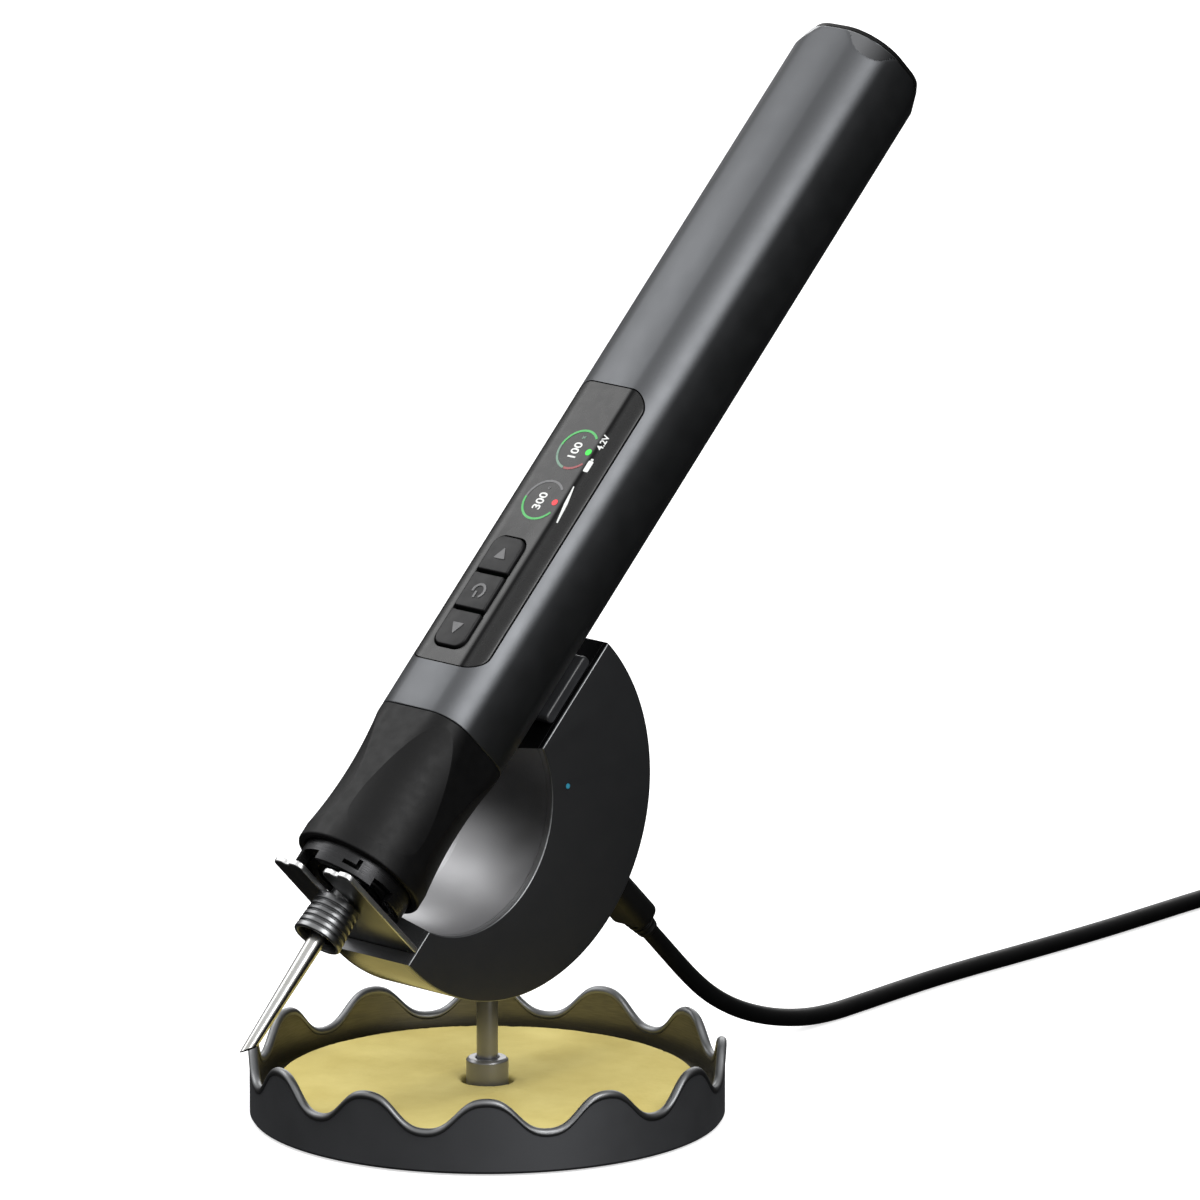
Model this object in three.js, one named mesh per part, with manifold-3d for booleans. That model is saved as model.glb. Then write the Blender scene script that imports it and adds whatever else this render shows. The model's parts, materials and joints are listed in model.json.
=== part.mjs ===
// A battery soldering pen resting at 45 degrees on its charging stand.
// Millimetres, +Z up. The origin is under the middle of the foot, on the axis of the post.
// X is the way the pen leans: its tail points to +X and its tip to -X. Y is across the pen.
import * as THREE from "three";
import { mergeVertices } from "three/addons/utils/BufferGeometryUtils.js";
import Module from "manifold-3d";

const wasm = await Module();
wasm.setup();

// ---------------------------------------------------------------- driving sizes

const GAP = 0.3; // air kept between pieces that rest on each other

// Tray, a shallow cup with a wavy rim.
const TRAY_R = 46.5;
const TRAY_WALL = 1.3;
const WAVES = 12;
const WAVE_PEAK_Z = 15.3;
const WAVE_VALLEY_Z = 9.0;
const WAVE_ROUND = 0.06; // share of a third harmonic, which broadens peaks and valleys
const WAVE_PHASE = Math.PI / 12; // the first peak stands half a wave past +X
const FOOT_R = 42;
const FOOT_TOP = 2.0;
const FLOOR_BOTTOM = FOOT_TOP + GAP;
const FLOOR_TOP = FLOOR_BOTTOM + 1.1;
const SPONGE_R = 41.2;
const SPONGE_HOLE_R = 5.0;
const SPONGE_BOTTOM = FLOOR_TOP + GAP;
const SPONGE_TOP = 7.0;

// Post and its collar.
const POST_R = 2.1;
const POST_TOP = 33;
const COLLAR_R = 4.15;
const COLLAR_TOP = 11.5;

// The cradle and the pen are laid out in a frame tilted about Y. Its u runs along the pen
// towards the tail, its n runs square to the pen, up and towards the tip side.
const TILT = Math.PI / 4;

// Cradle: half a disc cut by the flat at n = FLAT_N, with a round bite out of the flat.
// The bite is a little smaller on the far side, at +Y, than on the near side.
const DISC = { u: 42.9, n: 48.4, r: 38.75 };
const BITE = { u: 34.1, n: 56.1, rNear: 23.1, rFar: 19.4 };
const FLAT_N = 49.0;
const CRADLE_HALF = 10.5;
const COVER_T = 1.3;
const CRADLE_WALL = 2.0;
const LIGHT = { u: 54.8, n: 38.0, r: 0.5 };

// Contact pad on the upper flat, and the fork plate on the lower one.
const PAD = { u0: 61.2, u1: 76.6, top: 51.8, half: 9.6, r: 2.4 };
const PINS = { u0: 66, u1: 72, half: 3 };
const FORK = { u0: 6.9, t: 1.2, half: 10.5, top: 75, slotHalf: 2.9 };
const ROOT_DEPTH = 5.0; // how far the fork's root reaches into the cradle

// USB-C plug, square to the outer curve of the cradle, and its lead.
const PLUG = { u: 52.2, halfU: 2.9, halfY: 5.2, n0: 10.0, n1: -6.0 };
const RELIEF_END_N = -11.0;
const CABLE_D = 3.6;

// Pen. Heights h are measured from its axis, along n.
const PEN_N = 63.4;
const PEN_HALF = 11.3;
const PEN_CORNER = 6.2;
const PEN_WALL = 1.5;
const SHELL_U0 = 46.0;
const SHELL_U1 = 213.7;
const TAIL_HALF = 11.0; // half width of the end face, before the end slopes out to the body
const TAIL_SLOPE = 0.273;
const TAIL_ROUND = 0.82; // corner radius of the sloping end, as a part of its half width
const PANEL = { u0: 56.8, u1: 123.8, halfY: 9.5, r: 4.0, t: 1.3 };
const CREASE_Y = 5.1;
const BUTTON_Y = 0.7;
const BUTTON_HALF_Y = 4.0;
const BUTTON_PITCH = 8.9;
const BUTTON_MID_U = 73.3;
const BUTTON_L = 8.1;
const BUTTON_R = 2.2;
const BUTTON_TOP = PEN_HALF + 0.5;

// Nose grip, from the pen's rounded square to a round rim, with a shallow scoop on each corner.
const RIM_U = 13.7;
const RIM_R = 13.4;
const SCOOP = { mid: 30.5, low: 12.4, rise: 0.0055, round: 13.6 };
const SLEEVE = { u0: 9.4, u1: 19.6, r: 11.6, bore: 9.6 };
const SOCKET = { u0: 10.8, u1: 44, r: 9.2 };

// Barrel nut and tip.
const BARREL = { u0: -2.0, r0: 5.1, u1: 6.4, r1: 4.6, bore: 4.2, neck: 2.6, head: 3.0, headEnd: 13 };
const TIP_BEVEL = 0.42; // slope of the cut face at the tip's end, in radians
const TIP = { end: -29.2, rEnd: 1.15, rFront: 1.75, rShaft: 1.7, tail: 43 };

// ---------------------------------------------------------------- small helpers

function solid(geometry) {
  const bare = geometry.clone();
  bare.deleteAttribute("normal");
  bare.deleteAttribute("uv");
  const merged = mergeVertices(bare, 1e-4);
  return new wasm.Manifold(
    new wasm.Mesh({
      numProp: 3,
      vertProperties: new Float32Array(merged.attributes.position.array),
      triVerts: new Uint32Array(merged.index.array),
    }),
  );
}

function geometryOf(body) {
  const made = body.getMesh();
  const geometry = new THREE.BufferGeometry();
  geometry.setAttribute("position", new THREE.BufferAttribute(made.vertProperties, 3));
  geometry.setIndex(new THREE.BufferAttribute(made.triVerts, 1));
  return geometry;
}

function cut(geometry, ...tools) {
  return geometryOf(tools.reduce((body, tool) => body.subtract(solid(tool)), solid(geometry)));
}

function join(geometry, ...others) {
  return geometryOf(others.reduce((body, other) => body.add(solid(other)), solid(geometry)));
}

function overlap(a, b) {
  return geometryOf(solid(a).intersect(solid(b)));
}

// A solid of revolution about Y. The outline is closed, or runs from the axis to the axis,
// and goes round with the solid on its left.
function revolve(outline, segments) {
  const points = outline.map(([r, along]) => new THREE.Vector2(r, along));
  const open = points[0].x > 0 || points[points.length - 1].x > 0;
  if (open) points.push(points[0].clone());
  return new THREE.LatheGeometry(points, segments);
}

const aboutZ = (geometry) => geometry.rotateX(Math.PI / 2);
const aboutU = (geometry) => geometry.rotateZ(-Math.PI / 2);

// A disc or a rod along X, Y or Z.
function rod(axis, r, from, to, segments = 24) {
  const geometry = new THREE.CylinderGeometry(r, r, to - from, segments);
  geometry.translate(0, (from + to) / 2, 0);
  if (axis === "z") geometry.rotateX(Math.PI / 2);
  if (axis === "x") geometry.rotateZ(-Math.PI / 2);
  return geometry;
}

function block(x0, x1, y0, y1, z0, z1) {
  const geometry = new THREE.BoxGeometry(x1 - x0, y1 - y0, z1 - z0);
  return geometry.translate((x0 + x1) / 2, (y0 + y1) / 2, (z0 + z1) / 2);
}

function roundedBox(x0, x1, y0, y1, r) {
  const shape = new THREE.Shape();
  shape.absarc(x1 - r, y1 - r, r, 0, Math.PI / 2, false);
  shape.absarc(x0 + r, y1 - r, r, Math.PI / 2, Math.PI, false);
  shape.absarc(x0 + r, y0 + r, r, Math.PI, 1.5 * Math.PI, false);
  shape.absarc(x1 - r, y0 + r, r, 1.5 * Math.PI, 2 * Math.PI, false);
  return shape;
}

function extrude(shape, depth, curveSegments = 6) {
  return new THREE.ExtrudeGeometry(shape, { depth, bevelEnabled: false, curveSegments });
}

// Shape (y, h) pushed along u from one end to the other.
function alongU(shape, from, to, curveSegments) {
  const turn = new THREE.Matrix4().makeBasis(
    new THREE.Vector3(0, 1, 0),
    new THREE.Vector3(0, 0, 1),
    new THREE.Vector3(1, 0, 0),
  );
  return extrude(shape, to - from, curveSegments).applyMatrix4(turn).translate(from, 0, 0);
}

// Shape (u, n) pushed along Y from one side to the other.
function alongY(shape, from, to, curveSegments) {
  return extrude(shape, to - from, curveSegments).rotateX(Math.PI / 2).translate(0, to, 0);
}

function piece(name, geometry, colour, roughness, metalness) {
  const material = new THREE.MeshStandardMaterial({ color: colour, roughness, metalness });
  const mesh = new THREE.Mesh(geometry, material);
  mesh.name = name;
  return mesh;
}

const STEEL = [0xb9bcc0, 0.3, 1];
const GUNMETAL = [0x45474a, 0.42, 0.8];
const BLACK_PLASTIC = [0x17181a, 0.55, 0];
const BOARD_GREEN = [0x1f4a33, 0.6, 0];

// Distance from the middle to the edge of a rounded square, in the direction of an angle.
function squareRadius(angle, half, corner) {
  const x = Math.abs(Math.cos(angle));
  const y = Math.abs(Math.sin(angle));
  const toFlat = half / Math.max(x, y);
  const flatEnd = half - corner;
  if (toFlat * Math.min(x, y) <= flatEnd) return toFlat;
  const along = flatEnd * (x + y);
  return along + Math.sqrt(along * along - 2 * flatEnd * flatEnd + corner * corner);
}

// Moves the vertices of a body of revolution about Y, so that its outside has the given radius.
function reshape(geometry, radiusAt) {
  const position = geometry.attributes.position;
  for (let i = 0; i < position.count; i++) {
    const r = Math.hypot(position.getX(i), position.getZ(i));
    if (r < 1e-6) continue;
    const angle = Math.atan2(position.getZ(i), position.getX(i));
    const scale = radiusAt(angle, position.getY(i)) / r;
    position.setX(i, position.getX(i) * scale);
    position.setZ(i, position.getZ(i) * scale);
  }
  return geometry;
}

// ---------------------------------------------------------------- tray and post

function waveHeight(angle) {
  const mid = (WAVE_PEAK_Z + WAVE_VALLEY_Z) / 2;
  const swing = (WAVE_PEAK_Z - WAVE_VALLEY_Z) / 2;
  const turn = WAVES * (angle - WAVE_PHASE);
  const wave = (Math.cos(turn) - WAVE_ROUND * Math.cos(3 * turn)) / (1 - WAVE_ROUND);
  return mid + swing * wave;
}

// The rim's points are given as heights below the wave, which is added all round.
function trayGeometry() {
  const inner = TRAY_R - TRAY_WALL;
  const onWave = 100;
  const outline = [
    [1.6, FLOOR_BOTTOM],
    [TRAY_R - TRAY_WALL - 0.6, FLOOR_BOTTOM],
    [TRAY_R - TRAY_WALL - 0.6, GAP],
    [TRAY_R - 0.5, GAP],
    [TRAY_R, 1.0],
    [TRAY_R, onWave - 0.6],
    [TRAY_R - 0.35, onWave],
    [inner + 0.35, onWave],
    [inner, onWave - 0.6],
    [inner, FLOOR_TOP + 1.2],
    [inner - 1.2, FLOOR_TOP],
    [1.6, FLOOR_TOP],
  ];
  const geometry = revolve(outline, 8 * WAVES);
  const position = geometry.attributes.position;
  for (let i = 0; i < position.count; i++) {
    if (position.getY(i) < onWave / 2) continue;
    const angle = Math.atan2(-position.getZ(i), position.getX(i));
    position.setY(i, position.getY(i) - onWave + waveHeight(angle));
  }
  return geometry.rotateX(Math.PI / 2);
}

function footGeometry() {
  const outline = [
    [0, 0],
    [FOOT_R - 0.6, 0],
    [FOOT_R, 0.6],
    [FOOT_R, FOOT_TOP],
    [4.2, FOOT_TOP],
    [4.2, 0.7],
    [0, 0.7],
  ];
  return aboutZ(revolve(outline, 48));
}

function spongeGeometry() {
  const edge = 0.8;
  const outline = [
    [SPONGE_HOLE_R, SPONGE_BOTTOM],
    [SPONGE_R - edge, SPONGE_BOTTOM],
    [SPONGE_R, SPONGE_BOTTOM + edge],
    [SPONGE_R, SPONGE_TOP - edge],
    [SPONGE_R - edge, SPONGE_TOP],
    [SPONGE_HOLE_R + edge, SPONGE_TOP],
    [SPONGE_HOLE_R, SPONGE_TOP - edge],
  ];
  return aboutZ(revolve(outline, 48));
}

function collarGeometry() {
  const bore = POST_R + GAP;
  const outline = [
    [bore, FLOOR_TOP + GAP],
    [COLLAR_R, FLOOR_TOP + GAP],
    [COLLAR_R, COLLAR_TOP - 0.5],
    [COLLAR_R - 0.5, COLLAR_TOP],
    [bore, COLLAR_TOP],
  ];
  return aboutZ(revolve(outline, 32));
}

const SCREW_SHANK_R = 1.2;
const SCREW_SHANK_TOP = 12;

function postGeometry() {
  const bottom = FLOOR_TOP + GAP;
  const bore = SCREW_SHANK_R + GAP;
  const outline = [
    [0, SCREW_SHANK_TOP + GAP],
    [bore, SCREW_SHANK_TOP + GAP],
    [bore, bottom],
    [POST_R, bottom],
    [POST_R, POST_TOP - 0.4],
    [POST_R - 0.4, POST_TOP],
    [0, POST_TOP],
  ];
  return aboutZ(revolve(outline, 24));
}

function baseScrewGeometry() {
  const outline = [
    [0, 1.0],
    [3.6, 1.0],
    [3.6, FOOT_TOP],
    [SCREW_SHANK_R, FOOT_TOP],
    [SCREW_SHANK_R, SCREW_SHANK_TOP],
    [0, SCREW_SHANK_TOP],
  ];
  return aboutZ(revolve(outline, 24));
}

function postNutGeometry() {
  return cut(rod("z", 4.2, 28.9, 31.5, 6), rod("z", POST_R + GAP, 25, 35));
}

// ---------------------------------------------------------------- cradle

// The half disc, drawn smaller all round by the inset.
function halfDisc(inset) {
  const flat = FLAT_N - inset;
  const r = DISC.r - inset;
  const corner = Math.asin((flat - DISC.n) / r);
  return new THREE.Shape().absarc(DISC.u, DISC.n, r, corner, -Math.PI - corner, true);
}

function biteTool(inset) {
  const reach = CRADLE_HALF + 2;
  const middle = (BITE.rNear + BITE.rFar) / 2 + inset;
  const swing = (((BITE.rFar - BITE.rNear) / 2) * reach) / CRADLE_HALF;
  const cone = new THREE.CylinderGeometry(middle + swing, middle - swing, 2 * reach, 56);
  return cone.translate(BITE.u, 0, BITE.n);
}

// The bitten half disc between two places along Y.
function crescent(from, to, inset) {
  const tool = biteTool(inset);
  return cut(alongY(halfDisc(inset), from, to, 40), tool);
}

// A rod square to the flat, in the tilted frame.
const alongN = (r, u, y, from, to, segments) =>
  rod("z", r, from, to, segments).translate(u, y, 0);

// A post hole is upright in the object, so in the tilted frame it is turned back.
function uprightHole(r, from, to) {
  return rod("z", r, from, to).rotateY(TILT);
}

function cradleBodyGeometry() {
  const half = CRADLE_HALF - COVER_T - GAP;
  const shell = crescent(-half, half, 0);
  const room = crescent(-half - 1, half + 1, CRADLE_WALL);
  const socketMouth = block(PLUG.u - 2.2, PLUG.u + 2.2, -5, 5, 5, 16);
  const pinWindow = block(PINS.u0 - GAP, PINS.u1 + GAP, -3.3, 3.3, 45, 50);
  const slotHalf = FORK.half - COVER_T - 2 * GAP;
  const forkSlot = block(FORK.u0 - GAP, FORK.u0 + FORK.t + GAP, -slotHalf, slotHalf, 46, 50);
  return cut(shell, room, uprightHole(POST_R + GAP, 20, 30), socketMouth, pinWindow, forkSlot);
}

function cradleCover(side, hasLight) {
  const outer = side * CRADLE_HALF;
  const inner = side * (CRADLE_HALF - COVER_T);
  const plate = crescent(Math.min(outer, inner), Math.max(outer, inner), 0);
  if (!hasLight) return plate;
  const hole = rod("y", LIGHT.r + GAP, -12, -8, 12).translate(LIGHT.u, 0, LIGHT.n);
  return cut(plate, hole);
}

function lightGeometry() {
  const lens = rod("y", LIGHT.r, -CRADLE_HALF, -7, 12);
  const back = rod("y", 2.0, -8.6, -5, 12);
  return join(lens, back).translate(LIGHT.u, 0, LIGHT.n);
}

function padGeometry() {
  const shape = roundedBox(PAD.u0, PAD.u1, FLAT_N + GAP, PAD.top, PAD.r / 2);
  const window = block(PINS.u0 - GAP, PINS.u1 + GAP, -PINS.half - GAP, PINS.half + GAP, 40, 60);
  return cut(alongY(shape, -PAD.half, PAD.half, 5), window);
}

function pinBlockGeometry() {
  const base = block(PINS.u0, PINS.u1, -PINS.half, PINS.half, 44.5, PAD.top - 0.8);
  const pins = [-1.5, 1.5].map((y) => alongN(0.7, 69, y, 50, PAD.top, 12));
  return join(base, ...pins);
}

function forkGeometry() {
  const shape = new THREE.Shape();
  const { half, top, slotHalf } = FORK;
  const prongR = 1.6;
  const prongMid = (half + slotHalf) / 2;
  const dipHalf = 1.1;
  const dip = 1.3; // twice the depth of the dip in the middle of each prong's end
  const rootHalf = half - COVER_T - 3 * GAP;
  shape.moveTo(-rootHalf, FLAT_N - ROOT_DEPTH);
  shape.lineTo(rootHalf, FLAT_N - ROOT_DEPTH);
  shape.lineTo(rootHalf, FLAT_N + GAP);
  shape.lineTo(half, FLAT_N + GAP);
  shape.absarc(half - prongR, top - prongR, prongR, 0, Math.PI / 2, false);
  shape.lineTo(prongMid + dipHalf, top);
  shape.quadraticCurveTo(prongMid, top - dip, prongMid - dipHalf, top);
  shape.absarc(slotHalf + prongR, top - prongR, prongR, Math.PI / 2, Math.PI, false);
  shape.absarc(0, PEN_N, slotHalf, 0, -Math.PI, true);
  shape.absarc(-slotHalf - prongR, top - prongR, prongR, 0, Math.PI / 2, false);
  shape.lineTo(-prongMid + dipHalf, top);
  shape.quadraticCurveTo(-prongMid, top - dip, -prongMid - dipHalf, top);
  shape.absarc(-half + prongR, top - prongR, prongR, Math.PI / 2, Math.PI, false);
  shape.lineTo(-half, FLAT_N + GAP);
  shape.lineTo(-rootHalf, FLAT_N + GAP);
  const plate = alongU(shape, FORK.u0, FORK.u0 + FORK.t, 6);
  const holes = [-5.5, 5.5].map((y) => rod("x", 0.9, 0, 20, 12).translate(0, y, 45.6));
  return cut(plate, ...holes);
}

function forkScrewGeometry(y) {
  const head = rod("x", 1.3, FORK.u0 + FORK.t + GAP, FORK.u0 + FORK.t + 1.2, 12);
  const shank = rod("x", 0.6, FORK.u0 - 0.4, FORK.u0 + FORK.t + 1, 12);
  return join(head, shank).translate(0, y, 45.6);
}

function usbSocketGeometry() {
  const outer = alongU(roundedBox(-4.5, 4.5, -1.65, 1.65, 1.6), 11.2, 18.6, 4);
  const inner = alongU(roundedBox(-4.1, 4.1, -1.25, 1.25, 1.2), 10, 17.8, 4);
  return cut(outer, inner).rotateY(-Math.PI / 2).translate(PLUG.u, 0, 0);
}

function boardGeometry() {
  return block(46, 60, -0.8, 0.8, 19.2, 32);
}

// ---------------------------------------------------------------- plugs and lead

// Outline (u, y) pushed along n.
function alongNShape(shape, from, to, curveSegments = 6) {
  return extrude(shape, to - from, curveSegments).translate(0, 0, from);
}

function usbCShellGeometry() {
  const shape = roundedBox(-1.05, 1.05, -3.85, 3.85, 1.0);
  return alongNShape(shape, PLUG.n0 + GAP, 16.6, 4).translate(PLUG.u, 0, 0);
}

function plugBodyGeometry() {
  const shape = roundedBox(-PLUG.halfU, PLUG.halfU, -PLUG.halfY, PLUG.halfY, 2.4);
  return alongNShape(shape, PLUG.n1, PLUG.n0).translate(PLUG.u, 0, 0);
}

function reliefGeometry() {
  const outline = [
    [0, RELIEF_END_N],
    [CABLE_D / 2 + 0.5, RELIEF_END_N],
    [2.9, PLUG.n1 - GAP - 0.4],
    [2.9, PLUG.n1 - GAP],
    [0, PLUG.n1 - GAP],
  ];
  return aboutZ(revolve(outline, 20)).translate(PLUG.u, 0, 0);
}

// The lead's middle line from the strain relief to the edge of the coil.
const LEAD_POINTS = [
  [44.9, 0, 28.9],
  [47.6, 0, 26.2],
  [50.6, 0, 23.2],
  [53.8, 0, 20.0],
  [57.4, 0, 16.6],
  [61.4, 0, 13.3],
  [66.0, 0, 10.3],
  [71.4, 0.1, 7.6],
  [77.6, 0.2, 5.3],
  [84.4, 0.4, 3.5],
  [91.6, 0.7, 2.3],
  [99.0, 1.1, 1.85],
  [108.0, 2.0, 1.85],
  [119.0, 3.4, 1.85],
  [131.0, 4.8, 1.85],
  [144.0, 5.7, 1.85],
  [158.0, 6.2, 1.85],
  [173.0, 6.8, 1.85],
  [188.0, 7.7, 1.85],
  [203.0, 9.0, 1.85],
  [216.0, 10.2, 1.85],
  [227.0, 10.9, 1.85],
];
const COIL = { x: 241, y: -12.5, rIn: 14.3, rOut: 25.5, top: 7.4 };
const TAIL_POINTS = [
  [264.6, -26.5, 4.8],
  [264.6, -30.0, 4.4],
  [264.6, -34.0, 4.2],
];
const USB_A = { x: 264.6, halfX: 7.6, y0: -34.3, y1: -54, z: 4.2, halfZ: 4.0, shellEnd: -66 };

function leadGeometry(points, steps) {
  const curve = new THREE.CatmullRomCurve3(points.map((p) => new THREE.Vector3(...p)));
  const section = new THREE.Shape();
  const sides = 8;
  for (let i = 0; i < sides; i++) {
    const angle = (2 * Math.PI * i) / sides;
    const x = (CABLE_D / 2) * Math.cos(angle);
    const y = (CABLE_D / 2) * Math.sin(angle);
    if (i) section.lineTo(x, y);
    else section.moveTo(x, y);
  }
  return new THREE.ExtrudeGeometry(section, { steps, extrudePath: curve, bevelEnabled: false });
}

function coilGeometry() {
  const round = 1.6;
  const outline = [
    [COIL.rIn, round],
    [COIL.rIn + round, 0.05],
    [COIL.rOut - round, 0.05],
    [COIL.rOut, round],
    [COIL.rOut, COIL.top - round],
    [COIL.rOut - round, COIL.top],
    [COIL.rIn + round, COIL.top],
    [COIL.rIn, COIL.top - round],
  ];
  return aboutZ(revolve(outline, 32)).translate(COIL.x, COIL.y, 0);
}

function usbABodyGeometry() {
  const { x, halfX, z, halfZ, y0, y1 } = USB_A;
  const shape = roundedBox(x - halfX, x + halfX, z - halfZ, z + halfZ, 1.5);
  return alongY(shape, y1, y0);
}

function usbAShellGeometry() {
  const { x, z, y1, shellEnd } = USB_A;
  const shell = block(x - 6, x + 6, shellEnd, y1 - GAP, z - 2.25, z + 2.25);
  const mouth = block(x - 5.6, x + 5.6, shellEnd - 1, y1 - 2, z - 1.85, z + 0.1);
  return cut(shell, mouth);
}

// ---------------------------------------------------------------- pen body

function penSection(half, corner) {
  return roundedBox(-half, half, -half, half, corner);
}

// The tail end slopes in from the body to a rounder, smaller end face.
function tailTool() {
  const from = SHELL_U0 - 10;
  const outline = [
    [0, from],
    [1, from],
    [1, SHELL_U1],
    [0, SHELL_U1],
  ];
  const tool = revolve(outline, 64);
  return aboutU(
    reshape(tool, (angle, u) => {
      const half = TAIL_HALF + TAIL_SLOPE * (SHELL_U1 - u);
      return squareRadius(angle, half, TAIL_ROUND * half);
    }),
  );
}

// Outline (u, y) of the display window, with the given margin.
function panelOutline(margin) {
  const { u0, u1, halfY, r } = PANEL;
  return roundedBox(u0 - margin, u1 + margin, -halfY - margin, halfY + margin, r + margin);
}

const BUTTON_U0 = BUTTON_MID_U - BUTTON_PITCH - BUTTON_L / 2;
const BUTTON_U1 = BUTTON_MID_U + BUTTON_PITCH + BUTTON_L / 2;

function buttonOutline(u0, u1, margin, rLow, rHigh) {
  const y0 = BUTTON_Y - BUTTON_HALF_Y - margin;
  const y1 = BUTTON_Y + BUTTON_HALF_Y + margin;
  const shape = new THREE.Shape();
  shape.absarc(u1 + margin - rHigh, y1 - rHigh, rHigh, 0, Math.PI / 2, false);
  shape.absarc(u0 - margin + rLow, y1 - rLow, rLow, Math.PI / 2, Math.PI, false);
  shape.absarc(u0 - margin + rLow, y0 + rLow, rLow, Math.PI, 1.5 * Math.PI, false);
  shape.absarc(u1 + margin - rHigh, y0 + rHigh, rHigh, 1.5 * Math.PI, 2 * Math.PI, false);
  return shape;
}

function shellGeometry() {
  const outer = alongU(penSection(PEN_HALF, PEN_CORNER), SHELL_U0, SHELL_U1, 6);
  const inner = PEN_HALF - PEN_WALL;
  const room = alongU(penSection(inner, PEN_CORNER - PEN_WALL), 30, SHELL_U1 + 1, 4);
  const window = alongNShape(panelOutline(GAP), 4, 14);
  const contacts = block(PINS.u0 - GAP, PINS.u1 + GAP, -3.3, 3.3, -14, -8);
  return cut(overlap(outer, tailTool()), room, window, contacts);
}

function windowGeometry() {
  const outer = alongU(penSection(PEN_HALF, PEN_CORNER), PANEL.u0 - 5, PANEL.u1 + 5, 6);
  const under = PEN_HALF - PANEL.t;
  const room = alongU(penSection(under, PEN_CORNER - PANEL.t), 30, SHELL_U1, 4);
  const glass = overlap(outer, alongNShape(panelOutline(0), 4, 14));
  const opening = buttonOutline(BUTTON_U0, BUTTON_U1, GAP, BUTTON_R, BUTTON_R);
  const creases = [-CREASE_Y, CREASE_Y].map((y) =>
    block(PANEL.u0 - 1, PANEL.u1 + 1, -0.15, 0.15, -0.15, 0.15)
      .rotateX(Math.PI / 4)
      .translate(0, y, PEN_HALF),
  );
  return cut(glass, room, alongNShape(opening, 4, 14), ...creases);
}

function buttonGeometry(index) {
  const mid = BUTTON_MID_U + index * BUTTON_PITCH;
  const low = index < 0 ? BUTTON_R : 0.4;
  const high = index > 0 ? BUTTON_R : 0.4;
  const shape = buttonOutline(mid - BUTTON_L / 2, mid + BUTTON_L / 2, 0, low, high);
  const cap = alongNShape(shape, PEN_HALF - 1.6, BUTTON_TOP, 5);
  const stem = rod("z", 1.2, 9.0, PEN_HALF - 1.5, 12).translate(mid, BUTTON_Y, 0);
  return join(cap, stem);
}

function switchGeometry(index) {
  const mid = BUTTON_MID_U + index * BUTTON_PITCH;
  return block(mid - 2.2, mid + 2.2, BUTTON_Y - 2.2, BUTTON_Y + 2.2, 6.5, 8.2);
}

// Distance of the grip's outside from the axis, in the direction of an angle, at a place u.
function gripRadius(angle, u) {
  const t = (SHELL_U0 - u) / (SHELL_U0 - RIM_U);
  const half = THREE.MathUtils.lerp(PEN_HALF, RIM_R, t);
  const corner = THREE.MathUtils.lerp(PEN_CORNER, RIM_R, t);
  const base = squareRadius(angle, half, corner);
  const low = SCOOP.low + SCOOP.rise * (u - SCOOP.mid) ** 2;
  const back = SCOOP.round - low;
  const quarter = Math.PI / 2;
  const off = angle - quarter * Math.floor(angle / quarter) - quarter / 2;
  const sin = back * Math.sin(off);
  const scoop = Math.sqrt(SCOOP.round ** 2 - sin * sin) - back * Math.cos(off);
  return Math.min(base, scoop);
}

function gripGeometry() {
  const rings = 11;
  const back = SHELL_U0 - GAP;
  const outline = [[0, RIM_U]];
  for (let i = 0; i <= rings; i++) outline.push([1, RIM_U + ((back - RIM_U) * i) / rings]);
  outline.push([0, back]);
  const outer = aboutU(reshape(revolve(outline, 40), gripRadius));
  const sleeveRoom = rod("x", SLEEVE.r + GAP, 5, SLEEVE.u1 + GAP, 40);
  const room = rod("x", SOCKET.r + GAP, 5, 60, 32);
  return cut(outer, sleeveRoom, room);
}

function sleeveGeometry() {
  const { u0, u1, r, bore } = SLEEVE;
  const tube = cut(rod("x", r, u0, u1, 48), rod("x", bore, u0 - 1, u1 + 1, 48));
  const notches = [0, 1, 2, 3].map((k) =>
    block(u0 - 1, u0 + 1.9, -2.6, 2.6, 8, 14).rotateX((k * Math.PI) / 2 - 0.25),
  );
  const bayonetRun = block(u0 + 1.2, u0 + 2.1, -1.6, 1.6, 8, 14);
  const bayonetEnd = block(u0 + 1.2, u0 + 3.4, -2.0, -1.1, 8, 14);
  const bayonet = join(bayonetRun, bayonetEnd).rotateX(0.62);
  return cut(tube, bayonet, ...notches);
}

function socketGeometry() {
  const { u0, u1, r } = SOCKET;
  const outline = [
    [BARREL.head + GAP, u0 + 1.2],
    [5.2, u0 + 1.2],
    [5.2, u0],
    [r - 0.6, u0],
    [r, u0 + 0.6],
    [r, u1],
    [TIP.rShaft + GAP, u1],
    [TIP.rShaft + GAP, BARREL.headEnd + GAP],
    [BARREL.head + GAP, BARREL.headEnd + GAP],
  ];
  return aboutU(revolve(outline, 24));
}

// ---------------------------------------------------------------- barrel nut and tip

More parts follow.
